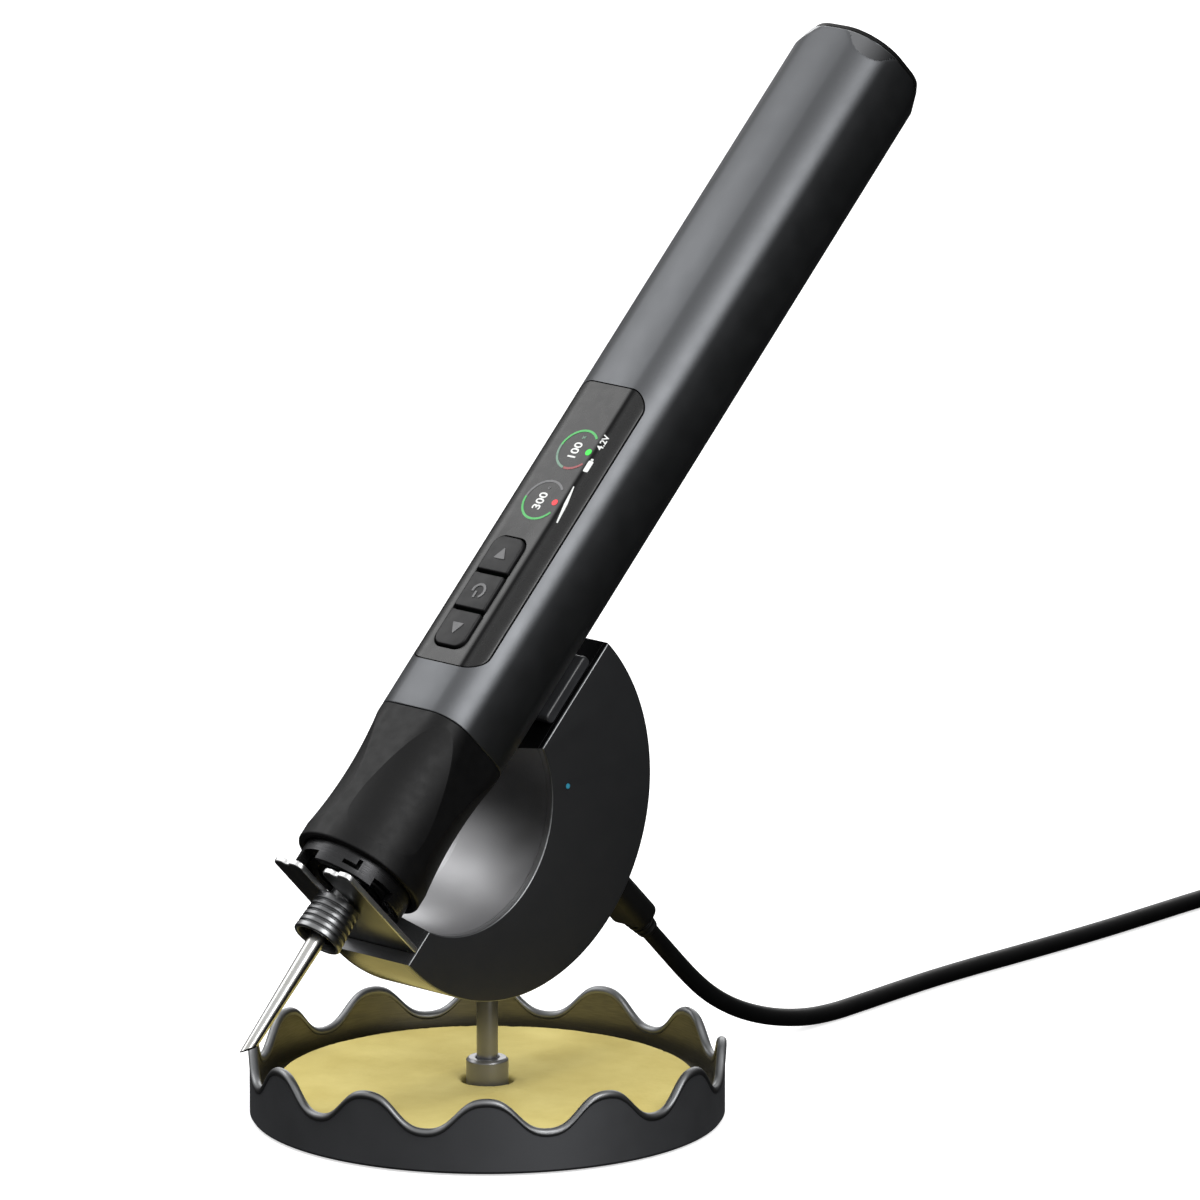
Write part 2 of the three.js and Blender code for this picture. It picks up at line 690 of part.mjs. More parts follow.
function barrelGeometry() {
  const { u0, r0, u1, r1, bore: mouth, neck, head, headEnd } = BARREL;
  const grooves = 5;
  const depth = 0.35;
  const radius = (u) => THREE.MathUtils.lerp(r0, r1, (u - u0) / (u1 - u0));
  const bore = TIP.rFront + GAP;
  const outline = [
    [mouth, u0],
    [r0 - 0.25, u0],
    [r0, u0 + 0.25],
  ];
  for (let k = 0; k < grooves; k++) {
    const u = u0 + 1.5 + k * 1.35;
    outline.push([radius(u - 0.3), u - 0.3]);
    outline.push([radius(u) - depth, u]);
    outline.push([radius(u + 0.3), u + 0.3]);
  }
  outline.push([r1, u1], [neck, u1], [neck, 9.2], [head, 9.2], [head, headEnd]);
  outline.push([bore, headEnd], [bore, 2.8], [mouth, 2.8]);
  return aboutU(revolve(outline, 24));
}

function bushGeometry() {
  const outline = [
    [TIP.rFront + GAP, -0.8],
    [3.65, -0.8],
    [3.65, 2.5],
    [TIP.rFront + GAP, 2.5],
  ];
  return aboutU(revolve(outline, 24));
}

function tipGeometry() {
  const { end, rEnd, rFront, rShaft, tail } = TIP;
  const outline = [
    [0, end],
    [rEnd, end],
    [rFront, BARREL.u0],
    [rShaft, 4],
    [rShaft, tail - 1],
    [rShaft - 0.6, tail],
    [0, tail],
  ];
  const rodShape = aboutU(revolve(outline, 24));
  const bevel = block(-3, 12, -4, 4, -8, 0)
    .rotateY(TIP_BEVEL)
    .translate(end, 0, rEnd - 0.1);
  return cut(rodShape, bevel);
}

// ---------------------------------------------------------------- inside the pen

const CELL = { u0: 128, u1: 193, r: 9.1 };

function springGeometry() {
  const turns = 2.5;
  const steps = 36;
  const points = [];
  for (let i = 0; i <= steps; i++) {
    const t = i / steps;
    const angle = 2 * Math.PI * turns * t;
    const r = 6.5 - 2.5 * t;
    const u = 202.6 - 8.2 * t;
    points.push(new THREE.Vector3(u, r * Math.cos(angle), r * Math.sin(angle)));
  }
  const path = new THREE.CatmullRomCurve3(points);
  const wire = new THREE.Shape().absarc(0, 0, 0.4, 0, 2 * Math.PI, false);
  const options = { steps, extrudePath: path, bevelEnabled: false, curveSegments: 2 };
  return new THREE.ExtrudeGeometry(wire, options);
}

function endCapGeometry() {
  const inner = PEN_HALF - PEN_WALL - GAP;
  const plug = alongU(penSection(inner, PEN_CORNER - PEN_WALL - GAP), 203.4, SHELL_U1 - 0.6, 6);
  const groove = cut(rod("x", 6.6, SHELL_U1 - 1.2, 220, 24), rod("x", 5.6, 200, 221, 24));
  return cut(plug, groove);
}

// ---------------------------------------------------------------- the assembly

const stand = new THREE.Group();
stand.add(
  piece("tray", trayGeometry(), ...GUNMETAL),
  piece("foot_pad", footGeometry(), 0x1a1a1b, 0.9, 0),
  piece("sponge", spongeGeometry(), 0xd3c474, 0.95, 0),
  piece("post_collar", collarGeometry(), 0x8b8678, 0.35, 1),
  piece("post", postGeometry(), 0x9a958a, 0.3, 1),
  piece("base_screw", baseScrewGeometry(), ...STEEL),
  piece("post_nut", postNutGeometry(), ...STEEL),
);

const cradle = new THREE.Group();
cradle.add(
  piece("cradle_body", cradleBodyGeometry(), ...GUNMETAL),
  piece("cradle_cover_near", cradleCover(-1, true), 0x2f3133, 0.5, 0.4),
  piece("cradle_cover_far", cradleCover(1, false), 0x2f3133, 0.5, 0.4),
  piece("charge_light", lightGeometry(), 0x49b6d8, 0.3, 0),
  piece("contact_pad", padGeometry(), 0x2a2c2f, 0.5, 0),
  piece("charging_pins", pinBlockGeometry(), 0xc9a24a, 0.3, 1),
  piece("cradle_magnet_lower", block(58.5, 64.5, -6, 6, 42.4, 46.6), ...STEEL),
  piece("cradle_magnet_upper", block(73.4, 77.4, -6, 6, 42.4, 46.6), ...STEEL),
  piece("cradle_board", boardGeometry(), ...BOARD_GREEN),
  piece("usb_socket", usbSocketGeometry(), ...STEEL),
  piece("fork_plate", forkGeometry(), 0xa9abad, 0.15, 1),
  piece("fork_screw_near", forkScrewGeometry(-5.5), ...STEEL),
  piece("fork_screw_far", forkScrewGeometry(5.5), ...STEEL),
  piece("usb_c_shell", usbCShellGeometry(), ...STEEL),
  piece("usb_c_overmould", plugBodyGeometry(), ...BLACK_PLASTIC),
  piece("strain_relief", reliefGeometry(), ...BLACK_PLASTIC),
);

const lead = new THREE.Group();
lead.add(
  piece("cable", leadGeometry(LEAD_POINTS, 60), ...BLACK_PLASTIC),
  piece("cable_coil", coilGeometry(), ...BLACK_PLASTIC),
  piece("cable_tail", leadGeometry(TAIL_POINTS, 3), ...BLACK_PLASTIC),
  piece("usb_a_overmould", usbABodyGeometry(), ...BLACK_PLASTIC),
  piece("usb_a_shell", usbAShellGeometry(), ...STEEL),
);

const pen = new THREE.Group();
pen.position.set(0, 0, PEN_N);
pen.add(
  piece("pen_shell", shellGeometry(), ...GUNMETAL),
  piece("end_cap", endCapGeometry(), ...BLACK_PLASTIC),
  piece("display_window", windowGeometry(), 0x101113, 0.12, 0),
  piece("display_module", block(91, 121, -7, 7, 7.8, 9.5), 0x0d0d10, 0.3, 0),
  piece("pen_board", block(52, 124, -7.5, 7.5, 5.0, 6.2), ...BOARD_GREEN),
  piece("switch_up", switchGeometry(1), ...STEEL),
  piece("switch_power", switchGeometry(0), ...STEEL),
  piece("switch_down", switchGeometry(-1), ...STEEL),
  piece("button_up", buttonGeometry(1), 0x1c1d1f, 0.5, 0),
  piece("button_power", buttonGeometry(0), 0x1c1d1f, 0.5, 0),
  piece("button_down", buttonGeometry(-1), 0x1c1d1f, 0.5, 0),
  piece("battery_cell", rod("x", CELL.r, CELL.u0, CELL.u1, 32), 0x2f6f9f, 0.4, 0),
  piece("battery_contact", block(126.2, 127.4, -6, 6, -6, 6), 0xc9a24a, 0.3, 1),
  piece("battery_spring", springGeometry(), ...STEEL),
  piece("nose_grip", gripGeometry(), 0x101010, 0.6, 0),
  piece("nose_sleeve", sleeveGeometry(), 0x3a3b3d, 0.45, 0.6),
  piece("tip_socket", socketGeometry(), ...BLACK_PLASTIC),
  piece("barrel_nut", barrelGeometry(), 0x9fa1a3, 0.28, 1),
  piece("barrel_bush", bushGeometry(), 0x0b0b0b, 0.7, 0),
  piece("tip", tipGeometry(), 0xd9dadb, 0.12, 1),
  piece("pen_contacts", block(66, 72, -3, 3, -11.3, -8.6), 0xc9a24a, 0.3, 1),
  piece("pen_magnet_lower", block(58.5, 64.5, -6, 6, -9.5, -7.2), ...STEEL),
  piece("pen_magnet_upper", block(73.4, 77.4, -6, 6, -9.5, -7.2), ...STEEL),
);

const tilted = new THREE.Group();
tilted.rotation.y = -TILT;
tilted.add(cradle, pen);

const station = new THREE.Group();
station.add(stand, tilted, lead);

export default station;
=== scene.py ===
# Looks for a battery soldering pen on its charging stand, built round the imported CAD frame.
# Shapes are worked out in millimetres and baked into the frame's metres when a piece is dressed.
import json
import math

import bmesh
import bpy
import numpy as np
from mathutils import Matrix, Vector, noise


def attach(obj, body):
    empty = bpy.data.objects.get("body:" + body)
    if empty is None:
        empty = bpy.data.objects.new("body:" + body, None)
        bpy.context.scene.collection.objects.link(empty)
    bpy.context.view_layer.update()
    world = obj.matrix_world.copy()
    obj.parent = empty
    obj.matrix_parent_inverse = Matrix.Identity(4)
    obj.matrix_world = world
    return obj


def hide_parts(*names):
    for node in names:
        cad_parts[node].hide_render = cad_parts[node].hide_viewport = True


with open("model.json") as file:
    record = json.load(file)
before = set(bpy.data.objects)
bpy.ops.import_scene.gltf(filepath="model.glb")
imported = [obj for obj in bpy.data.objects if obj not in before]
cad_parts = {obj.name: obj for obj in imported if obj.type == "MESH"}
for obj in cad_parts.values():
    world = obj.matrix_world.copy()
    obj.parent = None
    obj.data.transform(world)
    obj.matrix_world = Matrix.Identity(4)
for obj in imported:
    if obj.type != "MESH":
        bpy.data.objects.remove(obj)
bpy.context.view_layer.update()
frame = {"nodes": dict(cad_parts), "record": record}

# ---------------------------------------------------------------- the frame, in millimetres

MM = 0.001
HALF_ROOT = math.sqrt(0.5)
UPRIGHT = Matrix.Scale(MM, 4)
# The pen and the cradle lie in a frame tilted about Y: u along the pen, n square to it.
ACROSS_AND_UP = ((HALF_ROOT, 0, -HALF_ROOT, 0), (0, 1, 0, 0), (HALF_ROOT, 0, HALF_ROOT, 0), (0, 0, 0, 1))
TILTED = Matrix(ACROSS_AND_UP) @ UPRIGHT

RECORD = frame["record"]
NODE_SLOT = {row["node"]: row["material_slot"] for row in RECORD["subparts"]}
NODE_BODY = {node: body for body, nodes in RECORD["behaviour"]["bodies"].items() for node in nodes}


def extent(node, place=UPRIGHT):
    """Lowest and highest corner of a CAD node, in millimetres, in the frame that place leads from."""
    back = np.array(place.inverted())
    points = np.array([v.co for v in frame["nodes"][node].data.vertices])
    local = points @ back[:3, :3].T + back[:3, 3]
    return local.min(0), local.max(0)


PEN_N = float(np.mean([corner[2] for corner in extent("nose_sleeve", TILTED)]))
PEN = TILTED @ Matrix.Translation((0, 0, PEN_N))  # heights are then measured from the pen's axis

# ---------------------------------------------------------------- camera and stage

SENSOR = 36.0  # mm across
LENS = 387.0  # mm
VIEW_AZIMUTH = math.radians(-45.294)
VIEW_ELEVATION = math.radians(12.922)
VIEW_DISTANCE = 2.501
VIEW_TARGET = Vector((0.015493, -0.015653, 0.103024))


def placed(name, data):
    """A new object in the scene, with the data as its own."""
    made = bpy.data.objects.new(name, data)
    bpy.context.scene.collection.objects.link(made)
    return made


def make_camera():
    flat = math.cos(VIEW_ELEVATION)
    aside = math.sin(VIEW_AZIMUTH) * flat
    back = Vector((aside, -math.cos(VIEW_AZIMUTH) * flat, math.sin(VIEW_ELEVATION)))
    data = bpy.data.cameras.new("camera")
    data.sensor_width = SENSOR
    data.lens = LENS
    data.clip_start = 0.05
    data.clip_end = 60.0
    camera = placed("camera", data)
    camera.location = VIEW_TARGET + back * VIEW_DISTANCE
    camera.rotation_euler = (-back).to_track_quat("-Z", "Y").to_euler()
    bpy.context.scene.camera = camera


make_camera()
bpy.context.scene.view_settings.view_transform = "Standard"

# ---------------------------------------------------------------- materials


def feed(tree, node, inputs):
    """Sets inputs of a node, each one to a value or to what comes out of a socket."""
    for name, value in inputs.items():
        if isinstance(value, bpy.types.NodeSocket):
            tree.links.new(value, node.inputs[name])
        else:
            node.inputs[name].default_value = value
    return node.outputs


class Tree:
    """A principled material being built: its nodes, and the shader that they lead to."""

    def __init__(self, name, colour, rough, metal=0.0, specular=0.5):
        self.material = bpy.data.materials.new(name)
        self.material.use_nodes = True
        self.tree = self.material.node_tree
        self.colour = colour
        self.normal = None
        self.wear({"Base Color": (*colour, 1), "Roughness": rough, "Metallic": metal})
        self.wear({"Specular IOR Level": specular})

    def wear(self, inputs):
        feed(self.tree, self.tree.nodes["Principled BSDF"], inputs)

    def add(self, kind, inputs):
        return feed(self.tree, self.tree.nodes.new("ShaderNode" + kind), inputs)

    def place(self, scale, tilt=False):
        """Object coordinates in millimetres, along the pen if tilted, then scaled."""
        made = self.add("TexCoord", {})["Object"]
        if tilt:
            turn = self.tree.nodes.new("ShaderNodeVectorRotate")
            turn.rotation_type = "Y_AXIS"
            made = feed(self.tree, turn, {"Angle": math.pi / 4, "Vector": made})["Vector"]
        return self.add("Mapping", {"Scale": [s / MM for s in scale], "Vector": made})["Vector"]

    def noise(self, scale, detail=3.0, tilt=False, distortion=0.0):
        inputs = {"Scale": 1.0, "Detail": detail, "Distortion": distortion}
        return self.add("TexNoise", {**inputs, "Vector": self.place(scale, tilt)})["Fac"]

    def cells(self, scale):
        return self.add("TexVoronoi", {"Scale": 1.0, "Vector": self.place(scale)})["Distance"]

    def spread(self, value, low, high, start=0.3, end=0.7):
        """Value mapped from start..end to low..high."""
        inputs = {"From Min": start, "From Max": end, "To Min": low, "To Max": high}
        return self.add("MapRange", {**inputs, "Value": value})["Result"]

    def along_pen(self):
        """Places along the pen, across it and square to both, in millimetres."""
        return self.add("SeparateXYZ", {"Vector": self.place((1, 1, 1), True)})

    def combine(self, operation, *values):
        """The outcome of a Math node; each value is a number or a socket."""
        made = self.tree.nodes.new("ShaderNodeMath")
        made.operation = operation
        return feed(self.tree, made, dict(enumerate(values)))["Value"]

    def vary_rough(self, value, low, high):
        self.wear({"Roughness": self.spread(value, low, high)})

    def vary_colour(self, value, other, start=0.3, end=0.7):
        """Colour that turns from the base colour to another one as the value grows."""
        mix = self.tree.nodes.new("ShaderNodeMix")
        mix.data_type = "RGBA"
        inputs = {"A": (*self.colour, 1), "B": (*other, 1)}
        inputs["Factor"] = self.spread(value, 0.0, 1.0, start, end)
        self.wear({"Base Color": feed(self.tree, mix, inputs)["Result"]})

    def bump(self, value, strength, depth):
        inputs = {"Strength": strength, "Distance": depth * MM, "Height": value}
        if self.normal is not None:
            inputs["Normal"] = self.normal
        self.normal = self.add("Bump", inputs)["Normal"]
        self.wear({"Normal": self.normal})


def shade(colour, factor):
    return tuple(c * factor for c in colour)


def blasted_metal(name, colour, rough, tilt=True, metal=1.0):
    """Bead-blasted and anodised: a fine even grain and a faint drift in sheen."""
    tree = Tree(name, colour, rough, metal)
    drift = tree.noise((0.03, 0.08, 0.08), 2.0, tilt)
    tree.vary_colour(drift, shade(colour, 0.92))
    tree.vary_rough(tree.noise((0.2, 0.2, 0.2), 4.0, tilt), rough - 0.03, rough + 0.03)
    tree.bump(tree.noise((9, 9, 9), 2.0), 0.10, 0.02)
    return tree.material


def pen_material():
    """The pen's blasted metal, whose flats are very slightly crowned. Across a flat the product of
    the two places square to the axis is the place along it, and it turns smoothly at corners."""
    tree = Tree("pen_anodised", GUN, 0.44, 1.0)
    drift = tree.noise((0.03, 0.08, 0.08), 2.0, True)
    tree.vary_colour(drift, shade(GUN, 0.92))
    tree.vary_rough(tree.noise((0.2, 0.2, 0.2), 4.0, True), 0.42, 0.46)
    spot = tree.along_pen()
    over = tree.combine("SUBTRACT", spot["Z"], PEN_N)
    place = tree.combine("MULTIPLY", spot["Y"], over)
    square = tree.combine("MULTIPLY", place, place)
    tree.bump(tree.combine("MULTIPLY", square, -PEN_CROWN / PEN_HALF**2), 1.0, 1.0)
    tree.bump(tree.noise((9, 9, 9), 2.0), 0.08, 0.02)
    return tree.material


def brushed_metal(name, colour, rough, grain, tilt=False, metal=1.0, strength=0.25):
    """Metal with fine lines; grain is how fast the lines change along each axis, per millimetre."""
    tree = Tree(name, colour, rough, metal)
    lines = tree.noise(grain, 3.0, tilt)
    tree.vary_colour(lines, shade(colour, 0.82))
    tree.vary_rough(lines, rough - 0.05, rough + 0.07)
    tree.bump(lines, strength, 0.02)
    return tree.material


def polished_metal(name, colour, rough, stain=None):
    tree = Tree(name, colour, rough, 1.0)
    film = tree.noise((0.12, 0.12, 0.12), 5.0, False, 0.8)
    tree.vary_colour(film, stain or shade(colour, 0.88), 0.45, 0.8)
    tree.vary_rough(film, rough, rough + 0.06)
    tree.bump(tree.noise((3, 3, 3), 2.0), 0.04, 0.02)
    return tree.material


def moulded_plastic(name, colour, rough, grain=6.0, strength=0.18, specular=0.5):
    """Moulded plastic or rubber with a fine spark-eroded texture."""
    tree = Tree(name, colour, rough, 0.0, specular)
    tree.vary_colour(tree.noise((0.15, 0.15, 0.15), 3.0), shade(colour, 1.35))
    tree.vary_rough(tree.noise((0.5, 0.5, 0.5), 3.0), rough - 0.04, rough + 0.05)
    tree.bump(tree.noise((grain, grain, grain), 3.0), strength, 0.03)
    return tree.material


def glossy_plastic(name, colour, rough, specular=0.5):
    tree = Tree(name, colour, rough, 0.0, specular)
    haze = tree.noise((0.08, 0.08, 0.08), 5.0, False, 0.5)
    tree.vary_rough(haze, rough, rough + 0.07)
    tree.vary_colour(haze, shade(colour, 1.2))
    return tree.material


def lit_ink(name, colour, strength, rough=0.35):
    """A lit part of the display, or a printed mark where the strength is low."""
    tree = Tree(name, colour, rough)
    tree.wear({"Emission Color": (*colour, 1), "Emission Strength": strength})
    tree.vary_colour(tree.noise((1.5, 1.5, 1.5), 2.0), shade(colour, 0.85))
    return tree.material


def sponge_material():
    """Dry cellulose: fine open pores and a drift from pale to deeper yellow."""
    pale = (0.66, 0.56, 0.205)
    tree = Tree("sponge_cellulose", pale, 0.92, 0.0, 0.2)
    pores = tree.cells((0.9, 0.9, 1.3))
    fine = tree.noise((2.6, 2.6, 2.6), 6.0)
    mottle = tree.noise((0.09, 0.09, 0.09), 4.0)
    tree.vary_colour(mottle, (0.56, 0.46, 0.15))
    tree.bump(pores, 0.16, 0.2)
    tree.bump(fine, 0.28, 0.1)
    return tree.material


def window_material():
    """Smoked gloss with a painted dark line: its reflection is turned down along a soft line where the
    flat meets the near shoulder, as painted shade.
    """
    tree = Tree("window_gloss", (0.009, 0.009, 0.0092), 0.26)
    away = tree.combine("ADD", tree.along_pen()["Y"], PAINTED_SHADE_LINE_Y)
    # painted shade: the reflection fades to almost nothing towards the soft line
    sheen = tree.spread(tree.combine("ABSOLUTE", away), 0.02, 0.5, 0.25, 1.1)
    tree.wear({"Specular IOR Level": sheen})
    tree.vary_rough(tree.noise((0.5, 0.5, 0.5), 4.0, True), 0.24, 0.32)
    tree.bump(tree.noise((5, 5, 5), 2.0), 0.015, 0.02)
    return tree.material


PEN_CROWN = 0.017  # per millimetre
PEN_HALF = extent("pen_shell", PEN)[1][1]
CREASE_Y = 5.1  # across the pen, where its flat ends and the rounded corner begins
PAINTED_SHADE_LINE_Y = CREASE_Y + 0.75  # middle of the painted dark line (painted shade) on the window
GUN = (0.150, 0.155, 0.163)

LOOKS = {
    "pen_metal": pen_material(),
    "pen_facet": blasted_metal("pen_cut_facet", (0.27, 0.275, 0.285), 0.24),
    "tray_outside": blasted_metal("tray_paint", (0.145, 0.149, 0.158), 0.56, False, 0.8),
    "tray_rim": polished_metal("tray_rim_steel", (0.25, 0.255, 0.26), 0.38),
    "tray_inside": brushed_metal("tray_inside_bronze", (0.19, 0.184, 0.160), 0.40, (0.3, 0.3, 4)),
    "sponge": sponge_material(),
    "post": blasted_metal("post_turned", (0.25, 0.25, 0.255), 0.30, False, 0.75),
    "cradle_bite": blasted_metal("cradle_satin", (0.37, 0.37, 0.38), 0.40),
    "cradle_flat": brushed_metal(
        "cradle_flat_brushed", (0.13, 0.132, 0.136), 0.33, (5, 0.15, 5), True, 0.7
    ),
    # painted shadow: a darker copy of the flat, for the part of the flat under the pen where its shade
    # falls
    "cradle_seat_painted_shadow": blasted_metal("cradle_seat_painted_shadow", (0.045, 0.046, 0.049), 0.40),
    "cradle_outside": polished_metal("cradle_polished", (0.20, 0.20, 0.20), 0.14),
    "cradle_face": blasted_metal("cradle_face_paint", (0.020, 0.0208, 0.0222), 0.48, True, 0.0),
    "cradle_edge": polished_metal("cradle_cut_edge", (0.22, 0.225, 0.23), 0.34),
    "pad": moulded_plastic("pad_plastic", (0.026, 0.027, 0.029), 0.36, 6.0, 0.1, 0.7),
    "fork": polished_metal("fork_polished", (0.16, 0.163, 0.165), 0.30, (0.13, 0.13, 0.13)),
    "fork_edge": polished_metal("fork_cut_edge", (0.88, 0.88, 0.88), 0.34),
    "grip": moulded_plastic("grip_rubber", (0.0034, 0.0034, 0.0036), 0.48, 7.0, 0.08, 0.26),
    "sleeve": brushed_metal("sleeve_gunmetal", (0.05, 0.05, 0.052), 0.30, (6, 0.3, 0.3), True, 0.9),
    "socket": moulded_plastic("socket_plastic", (0.004, 0.004, 0.004), 0.5, 6.0, 0.1, 0.2),
    "barrel": brushed_metal("barrel_steel", (0.25, 0.253, 0.258), 0.32, (9, 0.4, 0.4), True, 1.0, 0.15),
    "barrel_lip": polished_metal("barrel_lip", (0.30, 0.305, 0.31), 0.28),
    "bush": moulded_plastic("bush_ceramic", (0.004, 0.004, 0.004), 0.8, 6.0, 0.1, 0.1),
    "tip": polished_metal("tip_plating", (0.70, 0.70, 0.69), 0.18, (0.56, 0.55, 0.51)),
    "tip_burnt": polished_metal("tip_tinned_face", (0.04, 0.038, 0.035), 0.45, (0.07, 0.065, 0.06)),
    "window": window_material(),
    "button": moulded_plastic("button_rubber", (0.0085, 0.0085, 0.009), 0.42, 8.0, 0.08, 0.30),
    "icon": moulded_plastic("button_icon", (0.095, 0.095, 0.098), 0.4, 8.0, 0.08),
    "cable": moulded_plastic("cable_jacket", (0.0030, 0.0030, 0.0031), 0.45, 3.0, 0.06, 0.20),
    "plug": moulded_plastic("plug_plastic", (0.0040, 0.0040, 0.0041), 0.50, 6.0, 0.12, 0.22),
    "green": lit_ink("lit_green", (0.045, 0.33, 0.075), 0.42),
    "green_dot": lit_ink("lit_green_dot", (0.012, 0.50, 0.03), 0.8),
    "mint": lit_ink("lit_mint", (0.12, 0.22, 0.16), 0.3),
    "grey": lit_ink("lit_grey", (0.11, 0.11, 0.115), 0.25),
    "red": lit_ink("lit_red", (0.24, 0.045, 0.05), 0.35),
    "red_dot": lit_ink("lit_red_dot", (0.62, 0.016, 0.025), 0.75),
    "white": lit_ink("lit_white", (0.52, 0.53, 0.52), 0.65),
    "led": lit_ink("lit_blue", (0.04, 0.26, 0.38), 0.22),
    "foot": moulded_plastic("foot_rubber", (0.014, 0.014, 0.014), 0.7, 2.5, 0.4),
}

# What the CAD nodes that stay in view wear, by their slot in the record.
CAD_LOOKS = {
    "foot_rubber": LOOKS["foot"],
    "screw_steel": polished_metal("screw_steel", (0.45, 0.45, 0.46), 0.25),
    "light_lens": LOOKS["led"],
    "contact_gold": polished_metal("contact_gold", (0.80, 0.58, 0.24), 0.2),
    "magnet": polished_metal("magnet_nickel", (0.60, 0.60, 0.60), 0.2),
    "circuit_board": glossy_plastic("circuit_board", (0.015, 0.09, 0.045), 0.3),
    "connector_metal": brushed_metal("connector_steel", (0.50, 0.50, 0.51), 0.28, (0.5, 0.5, 8)),
    "display": glossy_plastic("display_glass", (0.004, 0.004, 0.005), 0.1),
    "cell_can": glossy_plastic("cell_wrap", (0.02, 0.12, 0.30), 0.35),
    "cap_plastic": LOOKS["socket"],
}

# ---------------------------------------------------------------- mesh helpers


def solid(name, points, faces):
    """A mesh object in millimetres, with doubled points joined and its faces pointing out."""
    mesh = bpy.data.meshes.new(name)
    mesh.from_pydata([tuple(p) for p in points], [], faces)
    shape = bmesh.new()
    shape.from_mesh(mesh)
    bmesh.ops.remove_doubles(shape, verts=shape.verts, dist=1e-4)
    bmesh.ops.recalc_face_normals(shape, faces=shape.faces)
    shape.to_mesh(mesh)
    shape.free()
    return placed(name, mesh)


def corners_of(made):
    """The vertices among what a mesh operation has made."""
    return [v for v in made["geom"] if isinstance(v, bmesh.types.BMVert)]


def finished(name, shape):
    """A mesh object from a bmesh, with its faces pointing out."""
    bmesh.ops.recalc_face_normals(shape, faces=shape.faces)
    mesh = bpy.data.meshes.new(name)
    shape.to_mesh(mesh)
    shape.free()
    return placed(name, mesh)


def grid(rows, wrap=False):
    """Points and quads over rows of points that close on themselves. The rows wrap round to the
    first, or else the first and last are capped."""
    rows = np.asarray(rows, float)
    count, around = rows.shape[:2]
    faces = []
    for i in range(count if wrap else count - 1):
        a = i * around
        b = (i + 1) % count * around
        for j in range(around):
            k = (j + 1) % around
            faces.append((a + j, a + k, b + k, b + j))
    if not wrap:
        faces.append(tuple(range(around)))
        faces.append(tuple(range((count - 1) * around, count * around)))
    return rows.reshape(-1, 3), faces


def soften(points, radius, steps=4, closed=True):
    """An outline again, with its corners rounded."""
    points = [Vector(p) for p in points]
    made = []
    for i, corner in enumerate(points):
        if not closed and i in (0, len(points) - 1):
            made.append(corner)
            continue
        before = points[i - 1] - corner
        after = points[(i + 1) % len(points)] - corner
        reach = min(radius, 0.45 * before.length, 0.45 * after.length)
        a = corner + before.normalized() * reach
        b = corner + after.normalized() * reach
        for k in range(steps + 1):
            t = k / steps
            made.append(a * (1 - t) ** 2 + corner * 2 * t * (1 - t) + b * t * t)
    return made


def full_turn(steps):
    return np.arange(steps) * 2 * math.pi / steps


def ring_about_z(r, height, angles):
    return np.column_stack([r * np.cos(angles), r * np.sin(angles), height + 0 * angles])


def lathe(name, profile, axis, segments=96, round_by=0.2, steps=3):
    """A profile of (radius, place along the axis) turned about local axis 0 or 2. It starts and
    ends on the axis, or closes on itself."""
    closed = profile[0][0] > 0
    angles = full_turn(segments)
    rows = []
    for r, along in soften(profile, round_by, steps, closed):
        ring = np.zeros((segments, 3))
        ring[:, axis] = along
        ring[:, (axis + 1) % 3] = r * np.cos(angles)
        ring[:, (axis + 2) % 3] = r * np.sin(angles)
        rows.append(ring)
    return solid(name, *grid(rows, closed))


def inset(outline, amount):
    """An outline moved inwards by an amount, mitred at its corners."""
    points = np.array(outline, float)[:, :2]
    ahead = np.roll(points, -1, 0)
    area = np.sum(points[:, 0] * ahead[:, 1] - ahead[:, 0] * points[:, 1])
    if area < 0:
        points = points[::-1]
    after = np.roll(points, -1, 0) - points
    after /= np.linalg.norm(after, axis=1)[:, None]
    left = np.stack([-after[:, 1], after[:, 0]], axis=1)
    before = np.roll(left, 1, 0)
    mitre = (left + before) / (1 + np.sum(left * before, axis=1))[:, None]
    return points + amount * mitre


def prism(name, outline, low, high, bevel, order=(0, 1, 2), steps=3):
    """An outline pushed from low to high, with rounded rims. Order says which of (first, second,
    pushed) coordinates becomes each local axis."""
    quarter = [k * math.pi / 2 / steps for k in range(steps + 1)]
    rows = []
    for end, way, angles in ((low, 1, quarter), (high, -1, quarter[::-1])):
        for angle in angles:
            ring = inset(outline, bevel * (1 - math.sin(angle)))
            height = end + way * bevel * (1 - math.cos(angle))
            rows.append(np.column_stack([ring, np.full(len(ring), height)]))
    points, faces = grid(rows)
    return solid(name, points[:, order], faces)


def arc(centre, r, start, end, steps=12):
    """Points along an arc, its angles in degrees."""
    angles = np.radians(np.linspace(start, end, steps + 1))
    return [(centre[0] + r * math.cos(a), centre[1] + r * math.sin(a)) for a in angles]


def rounded_box(x0, x1, y0, y1, r, r_low=None, steps=8):
    """A box outline with round corners; the corners at the low x end may have their own radius."""
    low = r if r_low is None else r_low
    return [
        *arc((x1 - r, y1 - r), r, 0, 90, steps),
        *arc((x0 + low, y1 - low), low, 90, 180, steps),
        *arc((x0 + low, y0 + low), low, 180, 270, steps),
        *arc((x1 - r, y0 + r), r, 270, 360, steps),
    ]


def block(x0, x1, y0, y1, z0, z1):
    return prism("cutter", [(x0, y0), (x1, y0), (x1, y1), (x0, y1)], z0, z1, 0.001, steps=1)


